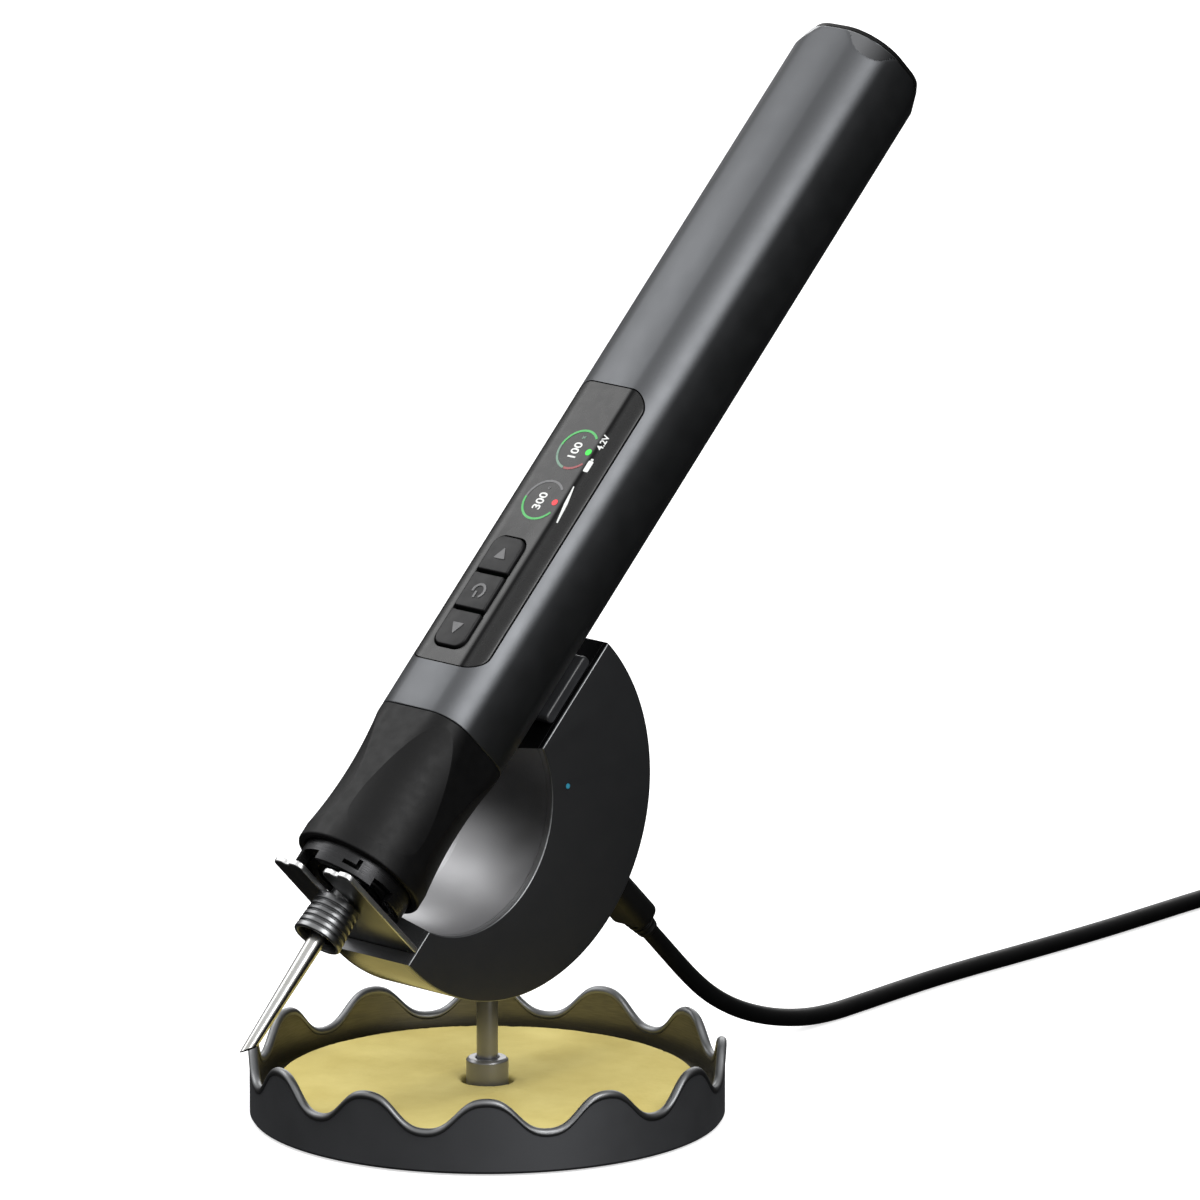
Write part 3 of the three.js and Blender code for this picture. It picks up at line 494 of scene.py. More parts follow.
def carve(body, *cutters):
    """Cuts the cutters out of a body, and removes them."""
    for cutter in cutters:
        modifier = body.modifiers.new("carve", "BOOLEAN")
        modifier.operation = "DIFFERENCE"
        modifier.solver = "EXACT"
        modifier.object = cutter
    bpy.context.view_layer.update()
    graph = bpy.context.evaluated_depsgraph_get()
    mesh = bpy.data.meshes.new_from_object(body.evaluated_get(graph))
    body.modifiers.clear()
    body.data = mesh
    for cutter in cutters:
        bpy.data.objects.remove(cutter)
    return body


def turned(obj, matrix):
    obj.data.transform(matrix)
    return obj


def dress(obj, node, place, looks, choose=None, sharp=30, replace=True):
    """Bakes a shape into the frame, gives it its materials, and lets it ride on its node's body.
    Choose picks a material for a face from its middle and normal, in millimetres."""
    mesh = obj.data
    mesh.materials.clear()
    for look in looks:
        mesh.materials.append(LOOKS[look])
    for polygon in mesh.polygons:
        polygon.material_index = choose(polygon.center, polygon.normal) if choose else 0
    mesh.transform(place)
    mesh.polygons.foreach_set("use_smooth", [True] * len(mesh.polygons))
    mesh.set_sharp_from_angle(angle=math.radians(sharp))
    mesh.update()
    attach(obj, NODE_BODY[node])
    if replace:
        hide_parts(node)
    return obj


# ---------------------------------------------------------------- the lead

CABLE_D = 3.6
# The middle line from the strain relief to the coil, in metres; then the coil; then to the plug.
LEAD_POINTS = [
    (0.0449, 0.0, 0.0289), (0.0476, 0.0, 0.0262), (0.0506, 0.0, 0.0232),
    (0.0538, 0.0, 0.0200), (0.0574, 0.0, 0.0166), (0.0614, 0.0, 0.0133),
    (0.0660, 0.0, 0.0103), (0.0714, 0.0001, 0.0076), (0.0776, 0.0002, 0.0053),
    (0.0844, 0.0004, 0.0035), (0.0916, 0.0007, 0.0023), (0.0990, 0.0011, 0.00185),
    (0.1080, 0.0020, 0.00185), (0.1190, 0.0034, 0.00185), (0.1310, 0.0048, 0.00185),
    (0.1440, 0.0057, 0.00185), (0.1580, 0.0062, 0.00185), (0.1730, 0.0068, 0.00185),
    (0.1880, 0.0077, 0.00185), (0.2030, 0.0090, 0.00185), (0.2160, 0.0102, 0.00185),
    (0.2270, 0.0109, 0.00185),
]
TAIL_POINTS = [
    (0.2646, -0.0265, 0.0048), (0.2646, -0.0300, 0.0044), (0.2646, -0.0340, 0.0042),
]
COIL_MIDDLE = (0.241, -0.0125)
COIL_OUTER_R = 0.0236
COIL_PITCH = 0.0037  # from one turn to the next
COIL_INNER_R = COIL_OUTER_R - 2 * COIL_PITCH
COIL_LOW_Z = 0.00185
COIL_HIGH_Z = 0.0055
COIL_TURNS = 5.25
STEPS_A_TURN = 24


def coil_points():
    """Two turns inwards on the surface, one and a quarter while rising, and two outwards on top."""
    points = []
    for i in range(round(COIL_TURNS * STEPS_A_TURN) + 1):
        turn = i / STEPS_A_TURN
        inwards = max(0.0, 2 - turn, turn - (COIL_TURNS - 2))
        r = COIL_INNER_R + COIL_PITCH * inwards
        rise = min(1.0, max(0.0, (turn - 1.9) / 0.6))
        angle = math.pi / 2 - 2 * math.pi * turn
        x = COIL_MIDDLE[0] + r * math.cos(angle)
        y = COIL_MIDDLE[1] + r * math.sin(angle)
        smooth = rise * rise * (3 - 2 * rise)
        points.append((x, y, COIL_LOW_Z + (COIL_HIGH_Z - COIL_LOW_Z) * smooth))
    return points


def smooth_line(points, steps=6):
    """A centripetal Catmull-Rom curve through the points."""
    points = [Vector(p) for p in points]
    points = [2 * points[0] - points[1], *points, 2 * points[-1] - points[-2]]
    made = [points[1]]
    for a, b, c, d in zip(points, points[1:], points[2:], points[3:]):
        t1 = math.sqrt((b - a).length)
        t2 = t1 + math.sqrt((c - b).length)
        t3 = t2 + math.sqrt((d - c).length)
        for k in range(1, steps + 1):
            t = t1 + (t2 - t1) * k / steps
            ab = a.lerp(b, t / t1)
            bc = b.lerp(c, (t - t1) / (t2 - t1))
            cd = c.lerp(d, (t - t2) / (t3 - t2))
            abc = ab.lerp(bc, t / t2)
            bcd = bc.lerp(cd, (t - t1) / (t3 - t1))
            made.append(abc.lerp(bcd, (t - t1) / (t2 - t1)))
    return made


def make_lead():
    line = smooth_line([*LEAD_POINTS, *coil_points(), *TAIL_POINTS])
    data = bpy.data.curves.new("lead", "CURVE")
    data.dimensions = "3D"
    data.bevel_depth = CABLE_D / 2 * MM
    data.bevel_resolution = 8
    data.use_fill_caps = True
    spline = data.splines.new("POLY")
    spline.points.add(len(line) - 1)
    for point, place in zip(spline.points, line):
        point.co = (*place, 1)
    spline.use_smooth = True
    data.materials.append(LOOKS["cable"])
    lead = placed("lead", data)
    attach(lead, "stand")
    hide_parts("cable", "cable_coil", "cable_tail")
    length = sum((b - a).length for a, b in zip(line, line[1:]))
    return lead, length


def make_plugs():
    low, high = extent("usb_c_overmould", TILTED)
    outline = rounded_box(low[0], high[0], low[1], high[1], 2.4)
    body = prism("fine_usb_c_overmould", outline, low[2], high[2], 0.7, steps=4)
    dress(body, "usb_c_overmould", TILTED, ["plug"])

    low_r, high_r = extent("strain_relief", TILTED)
    middle = (low_r[0] + high_r[0]) / 2
    top = high_r[2] + 0.25
    wide = (high_r[0] - low_r[0]) / 2
    thin = CABLE_D / 2 + 0.35
    profile = [(0, low_r[2]), (thin, low_r[2])]
    ribs = 3
    for k in range(ribs):
        start = low_r[2] + 0.9 + k * 1.45
        r = thin + (wide - thin) * (start - low_r[2]) / (top - low_r[2])
        rib = ((r, 0), (r - 0.45, 0.15), (r - 0.45, 0.5), (r + 0.1, 0.65))
        profile += [(radius, start + up) for radius, up in rib]
    profile += [(wide, top), (0, top)]
    relief = lathe("fine_strain_relief", profile, 2, 64, 0.12)
    turned(relief, Matrix.Translation((middle, 0, 0)))
    dress(relief, "strain_relief", TILTED, ["plug"])

    low, high = extent("usb_a_overmould")
    outline = rounded_box(low[0], high[0], low[2], high[2], 1.5)
    usb = prism("fine_usb_a_overmould", outline, low[1], high[1], 0.8, (0, 2, 1), 4)
    dress(usb, "usb_a_overmould", UPRIGHT, ["plug"])
    return [body, relief, usb, frame["nodes"]["usb_a_shell"]]


lead, lead_length = make_lead()
make_plugs()

# ---------------------------------------------------------------- tray, sponge and post

WAVES = 12
WAVE_PHASE = math.pi / WAVES
TRAY_WALL = 1.3
TRAY_LOW, TRAY_HIGH = extent("tray")
TRAY_R = TRAY_HIGH[0]
WAVE_PEAK = TRAY_HIGH[2]
WAVE_VALLEY = 9.0
WAVE_ROUND = 0.06  # share of a third harmonic, which broadens peaks and valleys
BEAD = 0.3  # how far the rolled rim stands out on either side
BEAD_DROP = 1.5
FLOOR_Z = (2.3, 3.4)  # underside and top of the tray's floor


def wave_height(angle):
    turn = WAVES * (angle - WAVE_PHASE)
    wave = (np.cos(turn) - WAVE_ROUND * np.cos(3 * turn)) / (1 - WAVE_ROUND)
    return (WAVE_PEAK + WAVE_VALLEY) / 2 + (WAVE_PEAK - WAVE_VALLEY) / 2 * wave


def make_tray():
    inner = TRAY_R - TRAY_WALL
    foot = TRAY_LOW[2]
    steps = [k / 8 for k in range(9)]
    # Each point is a radius, a height above the foot and the share of the wave that it takes.
    profile = [(1.6, FLOOR_Z[0], 0), (inner - 0.6, FLOOR_Z[0], 0), (inner - 0.6, foot, 0)]
    profile += [(TRAY_R - 0.8, foot, 0), (TRAY_R - 0.35, foot + 0.1, 0), (TRAY_R, foot + 0.6, 0)]
    profile += [(TRAY_R, (1 - t) * 1.2 - t * BEAD_DROP, t) for t in steps]
    rim = TRAY_WALL / 2
    bulge = rim + BEAD
    profile += [
        (TRAY_R - rim + bulge * math.cos(a), -bulge + bulge * math.sin(a), 1)
        for a in np.linspace(-0.6, math.pi + 0.6, 17)
    ]
    profile += [(inner, t * (FLOOR_Z[1] + 1.6) - (1 - t) * BEAD_DROP, 1 - t) for t in steps]
    profile += [(inner - 0.15, FLOOR_Z[1] + 0.9, 0), (inner - 0.5, FLOOR_Z[1] + 0.35, 0)]
    profile += [(inner - 1.3, FLOOR_Z[1], 0), (1.6, FLOOR_Z[1], 0)]
    angles = full_turn(30 * WAVES)
    wave = wave_height(angles)
    rows = [ring_about_z(r, z + share * wave, angles) for r, z, share in profile]
    tray = solid("fine_tray", *grid(rows, True))

    def choose(middle, normal):
        r = math.hypot(middle.x, middle.y)
        top = wave_height(math.atan2(middle.y, middle.x))
        on_bead = r > TRAY_R - 0.02 or r < inner + 0.02 or middle.z > top - 1
        if on_bead and middle.z > top - BEAD_DROP + 0.1:
            return 1
        return 0 if r > TRAY_R - TRAY_WALL / 2 or middle.z < FLOOR_Z[1] - 0.2 else 2

    dress(tray, "tray", UPRIGHT, ["tray_outside", "tray_rim", "tray_inside"], choose)


def make_sponge():
    """A cut disc with a hole: soft rims, a slight swell and an uneven, porous surface."""
    low, high = extent("sponge")
    outer = high[0]
    hole = 5.0
    rings = 74
    around = 288
    soft = 0.9
    flat = outer - hole - 2 * soft
    profile = [(hole + 0.2, low[2]), (outer - 0.5, low[2]), (outer, low[2] + 0.6)]
    profile += arc((outer - soft, high[2] - soft), soft, 0, 90, 5)
    profile += [(outer - soft - flat * k / rings, high[2]) for k in range(1, rings)]
    profile += arc((hole + soft, high[2] - soft), soft, 90, 180, 4)
    angles = full_turn(around)
    rows = [ring_about_z(r, z, angles) for r, z in profile]
    sponge = solid("fine_sponge", *grid(rows, True))
    for vertex in sponge.data.vertices:
        place = vertex.co.copy()
        lump = noise.noise(place * 0.10) * 0.07
        pit = noise.noise(place * 0.9)
        vertex.co.z += (lump - max(0.0, pit - 0.15) * 0.2) * (place.z > low[2] + 1)
        wobble = 1 + 0.0015 * noise.noise(Vector((place.x, place.y, 0)) * 0.25)
        vertex.co.x *= wobble
        vertex.co.y *= wobble
    dress(sponge, "sponge", UPRIGHT, ["sponge"], sharp=60)


def make_post():
    low, high = extent("post")
    r = high[0]
    profile = [(0, low[2]), (r, low[2]), (r, high[2]), (0, high[2])]
    dress(lathe("fine_post", profile, 2, 64, 0.4), "post", UPRIGHT, ["post"])
    low, high = extent("post_collar")
    wide = high[0]
    profile = [(r + 0.1, low[2]), (wide, low[2]), (wide, high[2] - 0.5), (wide - 0.5, high[2])]
    profile += [(r + 0.4, high[2]), (r + 0.1, high[2] - 0.3)]
    dress(lathe("fine_collar", profile, 2, 96, 0.15), "post_collar", UPRIGHT, ["post"])


# ---------------------------------------------------------------- cradle

DISC = {"u": 42.9, "n": 48.4, "r": 38.75}
BITE = {"u": 34.1, "n": 56.1, "near": 23.1, "far": 19.4}
FLAT_N = 49.0
COVER_LOW, COVER_HIGH = extent("cradle_cover_near", TILTED)
CRADLE_HALF = -COVER_LOW[1]
CRADLE_WALL = 2.0
PORT = (1.9, 4.7)  # half height and half width of the opening for the plug
PORT_ROUND = 1.8
LENS_HOLE_R = 0.62
PINS_HALF = 3.3  # half width of the opening for the charging pins
FLAT_STEPS = 10
BITE_STEPS = 90


def bite_radius(y):
    middle = (BITE["near"] + BITE["far"]) / 2
    return middle + (BITE["far"] - BITE["near"]) / 2 * y / CRADLE_HALF


def crescent_ring(y, shrink):
    """The bitten half disc at one place along Y, drawn smaller all round: along the flat and the
    bite from the lower corner to the upper one, and back round the outside."""
    r = DISC["r"] - shrink
    bite = bite_radius(y) + shrink
    flat = FLAT_N - shrink
    tilt = math.asin((flat - DISC["n"]) / r)
    dip = math.asin((BITE["n"] - flat) / bite)
    left = DISC["u"] - r * math.cos(tilt)
    right = DISC["u"] + r * math.cos(tilt)
    bite_left = BITE["u"] - bite * math.cos(dip)
    bite_right = BITE["u"] + bite * math.cos(dip)
    inner = [(u, flat) for u in np.linspace(left, bite_left, FLAT_STEPS, endpoint=False)]
    for a in np.linspace(-math.pi + dip, -dip, BITE_STEPS, endpoint=False):
        inner.append((BITE["u"] + bite * math.cos(a), BITE["n"] + bite * math.sin(a)))
    inner += [(u, flat) for u in np.linspace(bite_right, right, FLAT_STEPS + 1)]
    angles = np.linspace(math.pi - tilt, 2 * math.pi + tilt, len(inner))
    outer = [(DISC["u"] + r * math.cos(a), DISC["n"] + r * math.sin(a)) for a in angles]
    ring = inner + outer[::-1]
    return [(u, y, n) for u, n in ring]


def crescent(name, rows):
    """A crescent from rows of (place along Y, shrink), with its end faces made of quads."""
    points, faces = grid([crescent_ring(y, shrink) for y, shrink in rows], True)
    around = len(points) // len(rows)
    half = around // 2
    faces = faces[: (len(rows) - 1) * around]
    for start in (0, (len(rows) - 1) * around):
        for i in range(half - 1):
            j = around - 1 - i
            faces.append((start + i, start + i + 1, start + j - 1, start + j))
    return solid(name, points, faces)


def rim_rows(outer, inner, bevel, steps=4):
    """Rows of a plate from its outer face to its inner one, with the outer rim rounded."""
    way = 1 if inner > outer else -1
    rows = []
    for k in range(steps + 1):
        a = k * math.pi / 2 / steps
        rows.append((outer + way * bevel * (1 - math.cos(a)), bevel * (1 - math.sin(a))))
    rows.append((inner - way * 0.06, 0))
    rows.append((inner, 0.06))
    return rows


def make_cradle():
    seam = 0.03
    edge = CRADLE_HALF - (COVER_HIGH[1] - COVER_LOW[1]) - seam
    places = np.linspace(-edge, edge, 9)
    rows = [crescent_ring(y, 0) for y in places]
    rows += [crescent_ring(y, CRADLE_WALL) for y in places[::-1]]
    body = solid("fine_cradle_body", *grid(rows, True))
    hole_r = 2.3
    post_hole = lathe("cutter", [(0, 20), (hole_r, 20), (hole_r, 32), (0, 32)], 2, 48, 0.01)
    turned(post_hole, Matrix.Rotation(math.pi / 4, 4, "Y"))
    low, high = extent("usb_c_overmould", TILTED)
    middle = (low[0] + high[0]) / 2
    outline = rounded_box(middle - PORT[0], middle + PORT[0], -PORT[1], PORT[1], PORT_ROUND)
    port = prism("cutter", outline, 5, 16, 0.01, steps=1)
    fork_low, fork_high = extent("fork_plate", TILTED)
    slot = block(fork_low[0] - 0.1, fork_high[0] + 0.1, -edge - 1, edge + 1, FLAT_N - 3, FLAT_N + 1)
    pins_low, pins_high = extent("charging_pins", TILTED)
    pins = block(pins_low[0] - 0.2, pins_high[0] + 0.2, -PINS_HALF, PINS_HALF, FLAT_N - 4, FLAT_N + 1)
    carve(body, post_hole, port, slot, pins)

    def body_look(middle, _normal):
        r = math.hypot(middle.x - DISC["u"], middle.z - DISC["n"])
        if r > DISC["r"] - 0.2 and middle.z < FLAT_N - 0.01:
            return 2
        if middle.z < FLAT_N - 0.1:
            return 0
        # painted shadow: the flat beyond the bite, under the pen, takes the darker look
        return 3 if middle.x > BITE["u"] else 1

    looks = ["cradle_bite", "cradle_flat", "cradle_outside", "cradle_seat_painted_shadow"]
    dress(body, "cradle_body", TILTED, looks, body_look)

    for node, side in (("cradle_cover_near", -1), ("cradle_cover_far", 1)):
        outer = side * CRADLE_HALF
        inner = side * (edge + seam)
        plate = crescent("fine_" + node, rim_rows(outer, inner, 0.32))
        if side < 0:
            light_low, light_high = extent("charge_light", TILTED)
            lens_u = (light_low[0] + light_high[0]) / 2
            lens_n = (light_low[2] + light_high[2]) / 2
            r = LENS_HOLE_R
            hole = lathe("cutter", [(0, -12), (r, -12), (r, -8), (0, -8)], 2, 32, 0.01)
            turned(hole, Matrix.Rotation(-math.pi / 2, 4, "X"))
            turned(hole, Matrix.Translation((lens_u, 0, lens_n)))
            carve(plate, hole)

        def cover_look(middle, normal, outer=outer):
            if abs(normal.y) > 0.97:
                return 0
            if abs(middle.y - outer) < 0.3:
                return 1
            return 2 + body_look(middle, normal)

        dress(plate, node, TILTED, ["cradle_face", "cradle_edge", *looks], cover_look)


def make_pad():
    low, high = extent("contact_pad", TILTED)
    corners = [(low[0], low[2]), (high[0], low[2]), (high[0], high[2]), (low[0], high[2])]
    outline = soften(corners, 1.6, 8)
    pad = prism("fine_contact_pad", outline, low[1], high[1], 0.5, (0, 2, 1), 4)
    pins_low, pins_high = extent("charging_pins", TILTED)
    window = rounded_box(pins_low[0] - 0.25, pins_high[0] + 0.25, -3.25, 3.25, 0.5)
    carve(pad, prism("cutter", window, low[2] - 1, high[2] + 1, 0.01, steps=1))
    dress(pad, "contact_pad", TILTED, ["pad"])


def make_fork():
    """A plate with a round-ended slot for the barrel's neck, and round shoulders on each prong."""
    low, high = extent("fork_plate", TILTED)
    half = high[1]
    top = high[2]
    slot = 2.9
    round_by = 1.6
    root = 8.6
    dip_half = 1.1
    dip_deep = 0.65
    flat = FLAT_N + 0.3
    outline = [(-root, low[2]), (root, low[2]), (root, flat), (half, flat)]
    middle = (half + slot) / 2
    swell = [(k / 8 * 2 - 1) * dip_half for k in range(9)]
    dip = [(middle - t, top - dip_deep * (1 - (t / dip_half) ** 2)) for t in swell]
    prong = arc((half - round_by, top - round_by), round_by, 0, 90)
    prong += dip
    prong += arc((slot + round_by, top - round_by), round_by, 90, 180)
    outline += prong
    outline += arc((0, PEN_N), slot, 0, -180, 36)
    outline += [(-y, n) for y, n in prong[::-1]]
    outline += [(-half, flat), (-root, flat)]
    plate = prism("fine_fork_plate", outline, low[0], high[0], 0.28, (2, 0, 1), 3)

    def choose(middle, normal):
        return 0 if abs(normal.x) > 0.985 else 1

    dress(plate, "fork_plate", TILTED, ["fork", "fork_edge"], choose)


# ---------------------------------------------------------------- pen body

SHELL_LOW, SHELL_HIGH = extent("pen_shell", PEN)
PEN_CORNER = 6.2
PEN_WALL = 1.5
TAIL_LENGTH = 7.0  # how much of the shell has cut corners
TAIL_HALF = 11.0
TAIL_SLOPE = 0.273
TAIL_ROUND = 0.82
CAP_LIP = 1.1  # the end cap closes the tail with a lip of this thickness
WINDOW_LOW, WINDOW_HIGH = extent("display_window", PEN)
WINDOW_ROUND = 4.0


def square_radius(angle, half, corner):
    """Distance from the middle to the edge of a rounded square, in the direction of an angle."""
    x = abs(math.cos(angle))
    y = abs(math.sin(angle))
    to_flat = half / max(x, y)
    flat_end = half - corner
    if to_flat * min(x, y) <= flat_end:
        return to_flat
    along = flat_end * (x + y)
    return along + math.sqrt(along * along - 2 * flat_end * flat_end + corner * corner)


def section_angles(flat_steps, corner_steps):
    """Angles round the pen's section, close together on its corners."""
    start = math.atan2(PEN_HALF - PEN_CORNER, PEN_HALF)
    flat = np.linspace(-start, start, flat_steps, endpoint=False)
    corner = np.linspace(start, math.pi / 2 - start, corner_steps, endpoint=False)
    quarter = np.concatenate([flat, corner])
    return np.concatenate([quarter + k * math.pi / 2 for k in range(4)])


def ring_about_u(u, radii, angles):
    return np.column_stack([np.full(len(angles), u), radii * np.cos(angles), radii * np.sin(angles)])


def height_over(y):
    """Height of the pen's upper surface over its middle plane, at a place across it."""
    past = abs(y) - (PEN_HALF - PEN_CORNER)
    if past <= 0:
        return PEN_HALF
    return PEN_HALF - PEN_CORNER + math.sqrt(max(0.0, PEN_CORNER**2 - past * past))


def window_outline(margin=0):
    low = WINDOW_LOW - margin
    high = WINDOW_HIGH + margin
    return rounded_box(low[0], high[0], low[1], high[1], WINDOW_ROUND + margin, steps=14)


def make_shell():
    angles = section_angles(16, 30)
    body = np.array([square_radius(a, PEN_HALF, PEN_CORNER) for a in angles])
    u0 = SHELL_LOW[0] - 0.1
    u1 = SHELL_HIGH[0]
    cap_u = u1 - CAP_LIP
    rows = [ring_about_u(u0 + 0.3 * (1 - math.sin(a)), body - 0.3 * (1 - math.cos(a)), angles)
            for a in np.linspace(math.pi / 2, 0, 5)]
    rows += [ring_about_u(u, body, angles) for u in np.linspace(u0 + 3, u1 - TAIL_LENGTH, 24)]

    def tail_ring(u):
        half = TAIL_HALF + TAIL_SLOPE * (u1 - u)
        return np.minimum(body, [square_radius(a, half, TAIL_ROUND * half) for a in angles])

    lip = 0.25
    along = np.linspace(u1 - TAIL_LENGTH + 0.5, cap_u - lip, 32)
    rows += [ring_about_u(u, tail_ring(u), angles) for u in along]
    end = tail_ring(cap_u)
    for a in np.linspace(0.4, math.pi / 2, 4):
        rows.append(ring_about_u(cap_u - lip + lip * math.sin(a), end - lip * (1 - math.cos(a)), angles))
    inner_half = PEN_HALF - PEN_WALL
    inner = np.array([square_radius(a, inner_half, PEN_CORNER - PEN_WALL) for a in angles])
    rows += [ring_about_u(cap_u, inner + lip, angles), ring_about_u(cap_u - lip, inner, angles)]
    rows += [ring_about_u(u, inner, angles) for u in np.linspace(u1 - 3, u0 + 3, 12)]
    rows += [ring_about_u(u0, inner, angles)]
    shell = solid("fine_pen_shell", *grid(rows, True))
    opening = prism("cutter", window_outline(0.26), 4, 14, 0.001, steps=1)
    contact_low, contact_high = extent("pen_contacts", PEN)
    contacts = block(contact_low[0] - 0.2, contact_high[0] + 0.2, -3.2, 3.2, -14, -8)
    carve(shell, opening, contacts)

    def choose(middle, normal):
        return 1 if middle.x > u1 - TAIL_LENGTH - 1 and normal.x > 0.15 else 0

    dress(shell, "pen_shell", PEN, ["pen_metal", "pen_facet"], choose, sharp=22)

    low = extent("end_cap", PEN)[0]
    gap = 0.3
    plug = [square_radius(a, inner_half - gap, PEN_CORNER - PEN_WALL) for a in angles]
    plug = np.minimum(inner - gap, plug)
    lip = tail_ring(u1) - 0.1
    one = np.ones(len(angles))
    rings = [(low[0], plug), (cap_u + 0.02, plug), (cap_u + 0.02, end - 0.45), (cap_u + 0.12, end - 0.12)]
    rings += [(u1 - 0.3, lip), (u1 - 0.08, lip - 0.12), (u1, lip - 0.4), (u1, lip - 1.4)]
    rings += [(u1 - 0.35, lip - 1.7), (u1 - 0.35, 6.7 * one), (u1 - 0.45, 6.6 * one)]
    rings += [(u1 - 0.85, 6.5 * one), (u1 - 0.85, 5.7 * one), (u1 - 0.45, 5.6 * one)]
    rings += [(u1 - 0.35, 5.5 * one), (u1 - 0.35, 2 * one)]
    cap = solid("fine_end_cap", *grid([ring_about_u(u, radii, angles) for u, radii in rings]))
    dress(cap, "end_cap", PEN, ["socket"])


def lifted_sheet(name, outline, holes, lines, height, thickness, bevel):
    """A flat sheet (u, y) with holes, scored along lines of constant y, lifted to a height that
    depends on y, thickened downwards, and with its upper rims bevelled."""
    shape = bmesh.new()
    edges = []
    for loop in [outline, *holes]:
        points = [shape.verts.new((u, y, 0)) for u, y in inset(loop, 0)]
        edges += [shape.edges.new(pair) for pair in zip(points, points[1:] + points[:1])]
    bmesh.ops.remove_doubles(shape, verts=shape.verts, dist=1e-4)
    edges = [e for e in shape.edges if e.is_valid]
    bmesh.ops.triangle_fill(shape, edges=edges, use_beauty=True)
    for y in lines:
        everything = [*shape.verts, *shape.edges, *shape.faces]
        bmesh.ops.bisect_plane(shape, geom=everything, plane_co=(0, y, 0), plane_no=(0, 1, 0))
    bmesh.ops.recalc_face_normals(shape, faces=shape.faces)
    if shape.faces[:][0].normal.z < 0:
        bmesh.ops.reverse_faces(shape, faces=shape.faces)
    rim = [e for e in shape.edges if len(e.link_faces) == 1]
    for vertex in shape.verts:
        vertex.co.z = height(vertex.co.y)
    low = bmesh.ops.extrude_edge_only(shape, edges=rim)
    for vertex in corners_of(low):
        vertex.co.z -= thickness
    bmesh.ops.bevel(shape, geom=rim, offset=bevel, segments=3, profile=0.5, affect="EDGES")
    return finished(name, shape)


BUTTONS = ("button_down", "button_power", "button_up")
BUTTON_GAP = 0.42
BUTTON_ROUND = 2.2


def window_height(y):
    """The window follows the pen, a hair below its surface."""
    return height_over(y) - 0.03


def make_window():
    low, side = extent(BUTTONS[0], PEN)
    high = extent(BUTTONS[-1], PEN)[1]
    gap = BUTTON_GAP
    opening = rounded_box(low[0] - gap, high[0] + gap, low[1] - gap, side[1] + gap, BUTTON_ROUND + gap)
    lines = [side * y for side in (-1, 1) for y in np.arange(CREASE_Y, WINDOW_HIGH[1], 0.3)]
    window = lifted_sheet("fine_window", window_outline(), [opening], lines, window_height, 1.1, 0.1)
    dress(window, "display_window", PEN, ["window"], sharp=40)


# ---------------------------------------------------------------- marks on the display and buttons


class Marks:
    """Thin flat marks (u, y), gathered into one mesh that lies on a surface."""

    def __init__(self):
        self.points = []
        self.faces = []
        self.looks = []

    def add(self, points, faces, look):
        start = len(self.points)
        self.points += [tuple(p) for p in points]
        self.faces += [tuple(start + i for i in face) for face in faces]
        self.looks += [look] * len(faces)

    def band(self, inner, outer, look):
        """A strip between two lines of points."""
        count = len(inner)
        faces = [(i, i + 1, count + i + 1, count + i) for i in range(count - 1)]
        self.add([*inner, *outer], faces, look)

    def arc(self, centre, r, width, start, end, look, steps=20):
        inner = arc(centre, r - width / 2, start, end, steps)
        outer = arc(centre, r + width / 2, start, end, steps)
        self.band(inner, outer, look)

    def dot(self, centre, r, look):
        rim = arc(centre, r, 0, 345, 23)
        self.add([centre, *rim], [(0, i + 1, (i + 1) % 24 + 1) for i in range(24)], look)

    def text(self, words, centre, size, look, stretch=1.0):
        """Plain lettering that reads towards +u, with its top towards +y."""
        data = bpy.data.curves.new("text", "FONT")
        data.body = words
        data.size = size
        data.align_x = "CENTER"
        data.align_y = "CENTER"
        data.offset = 0.02 * size
        data.resolution_u = 3
        made = placed("text", data)
        bpy.context.view_layer.update()
        mesh = bpy.data.meshes.new_from_object(made.evaluated_get(bpy.context.evaluated_depsgraph_get()))
        points = [(centre[0] + v.co.x * stretch, centre[1] + v.co.y) for v in mesh.vertices]
        self.add(points, [tuple(p.vertices) for p in mesh.polygons], look)
        bpy.data.objects.remove(made)
        bpy.data.meshes.remove(mesh)

    def build(self, name, height, node, thickness=0.02, lift=0.015):
        """Lays the marks on the surface as thin closed solids."""
        shape = bmesh.new()
        points = [shape.verts.new((u, y, 0)) for u, y in self.points]
        names = sorted(set(self.looks))
        for face, look in zip(self.faces, self.looks):
            made = shape.faces.new([points[i] for i in face])
            made.material_index = names.index(look)
        bmesh.ops.remove_doubles(shape, verts=shape.verts, dist=1e-5)
        for face in shape.faces:
            if face.normal.z < 0:
                face.normal_flip()
        for vertex in shape.verts:
            vertex.co.z = height(vertex.co.y) + lift
        made = bmesh.ops.extrude_face_region(shape, geom=list(shape.faces))
        for vertex in corners_of(made):
            vertex.co.z += thickness
        obj = finished(name, shape)
        for look in names:
            obj.data.materials.append(LOOKS[look])
        obj.data.transform(PEN)
        obj.data.update()
        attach(obj, NODE_BODY[node])
        return obj


RING_R = 4.5
RING_W = 0.5
UPPER_GAUGE = (108.3, -1.2)
LOWER_GAUGE = (95.9, -0.4)
STRIP_Y = -6.7  # middle of the strip of small marks on the window's near shoulder


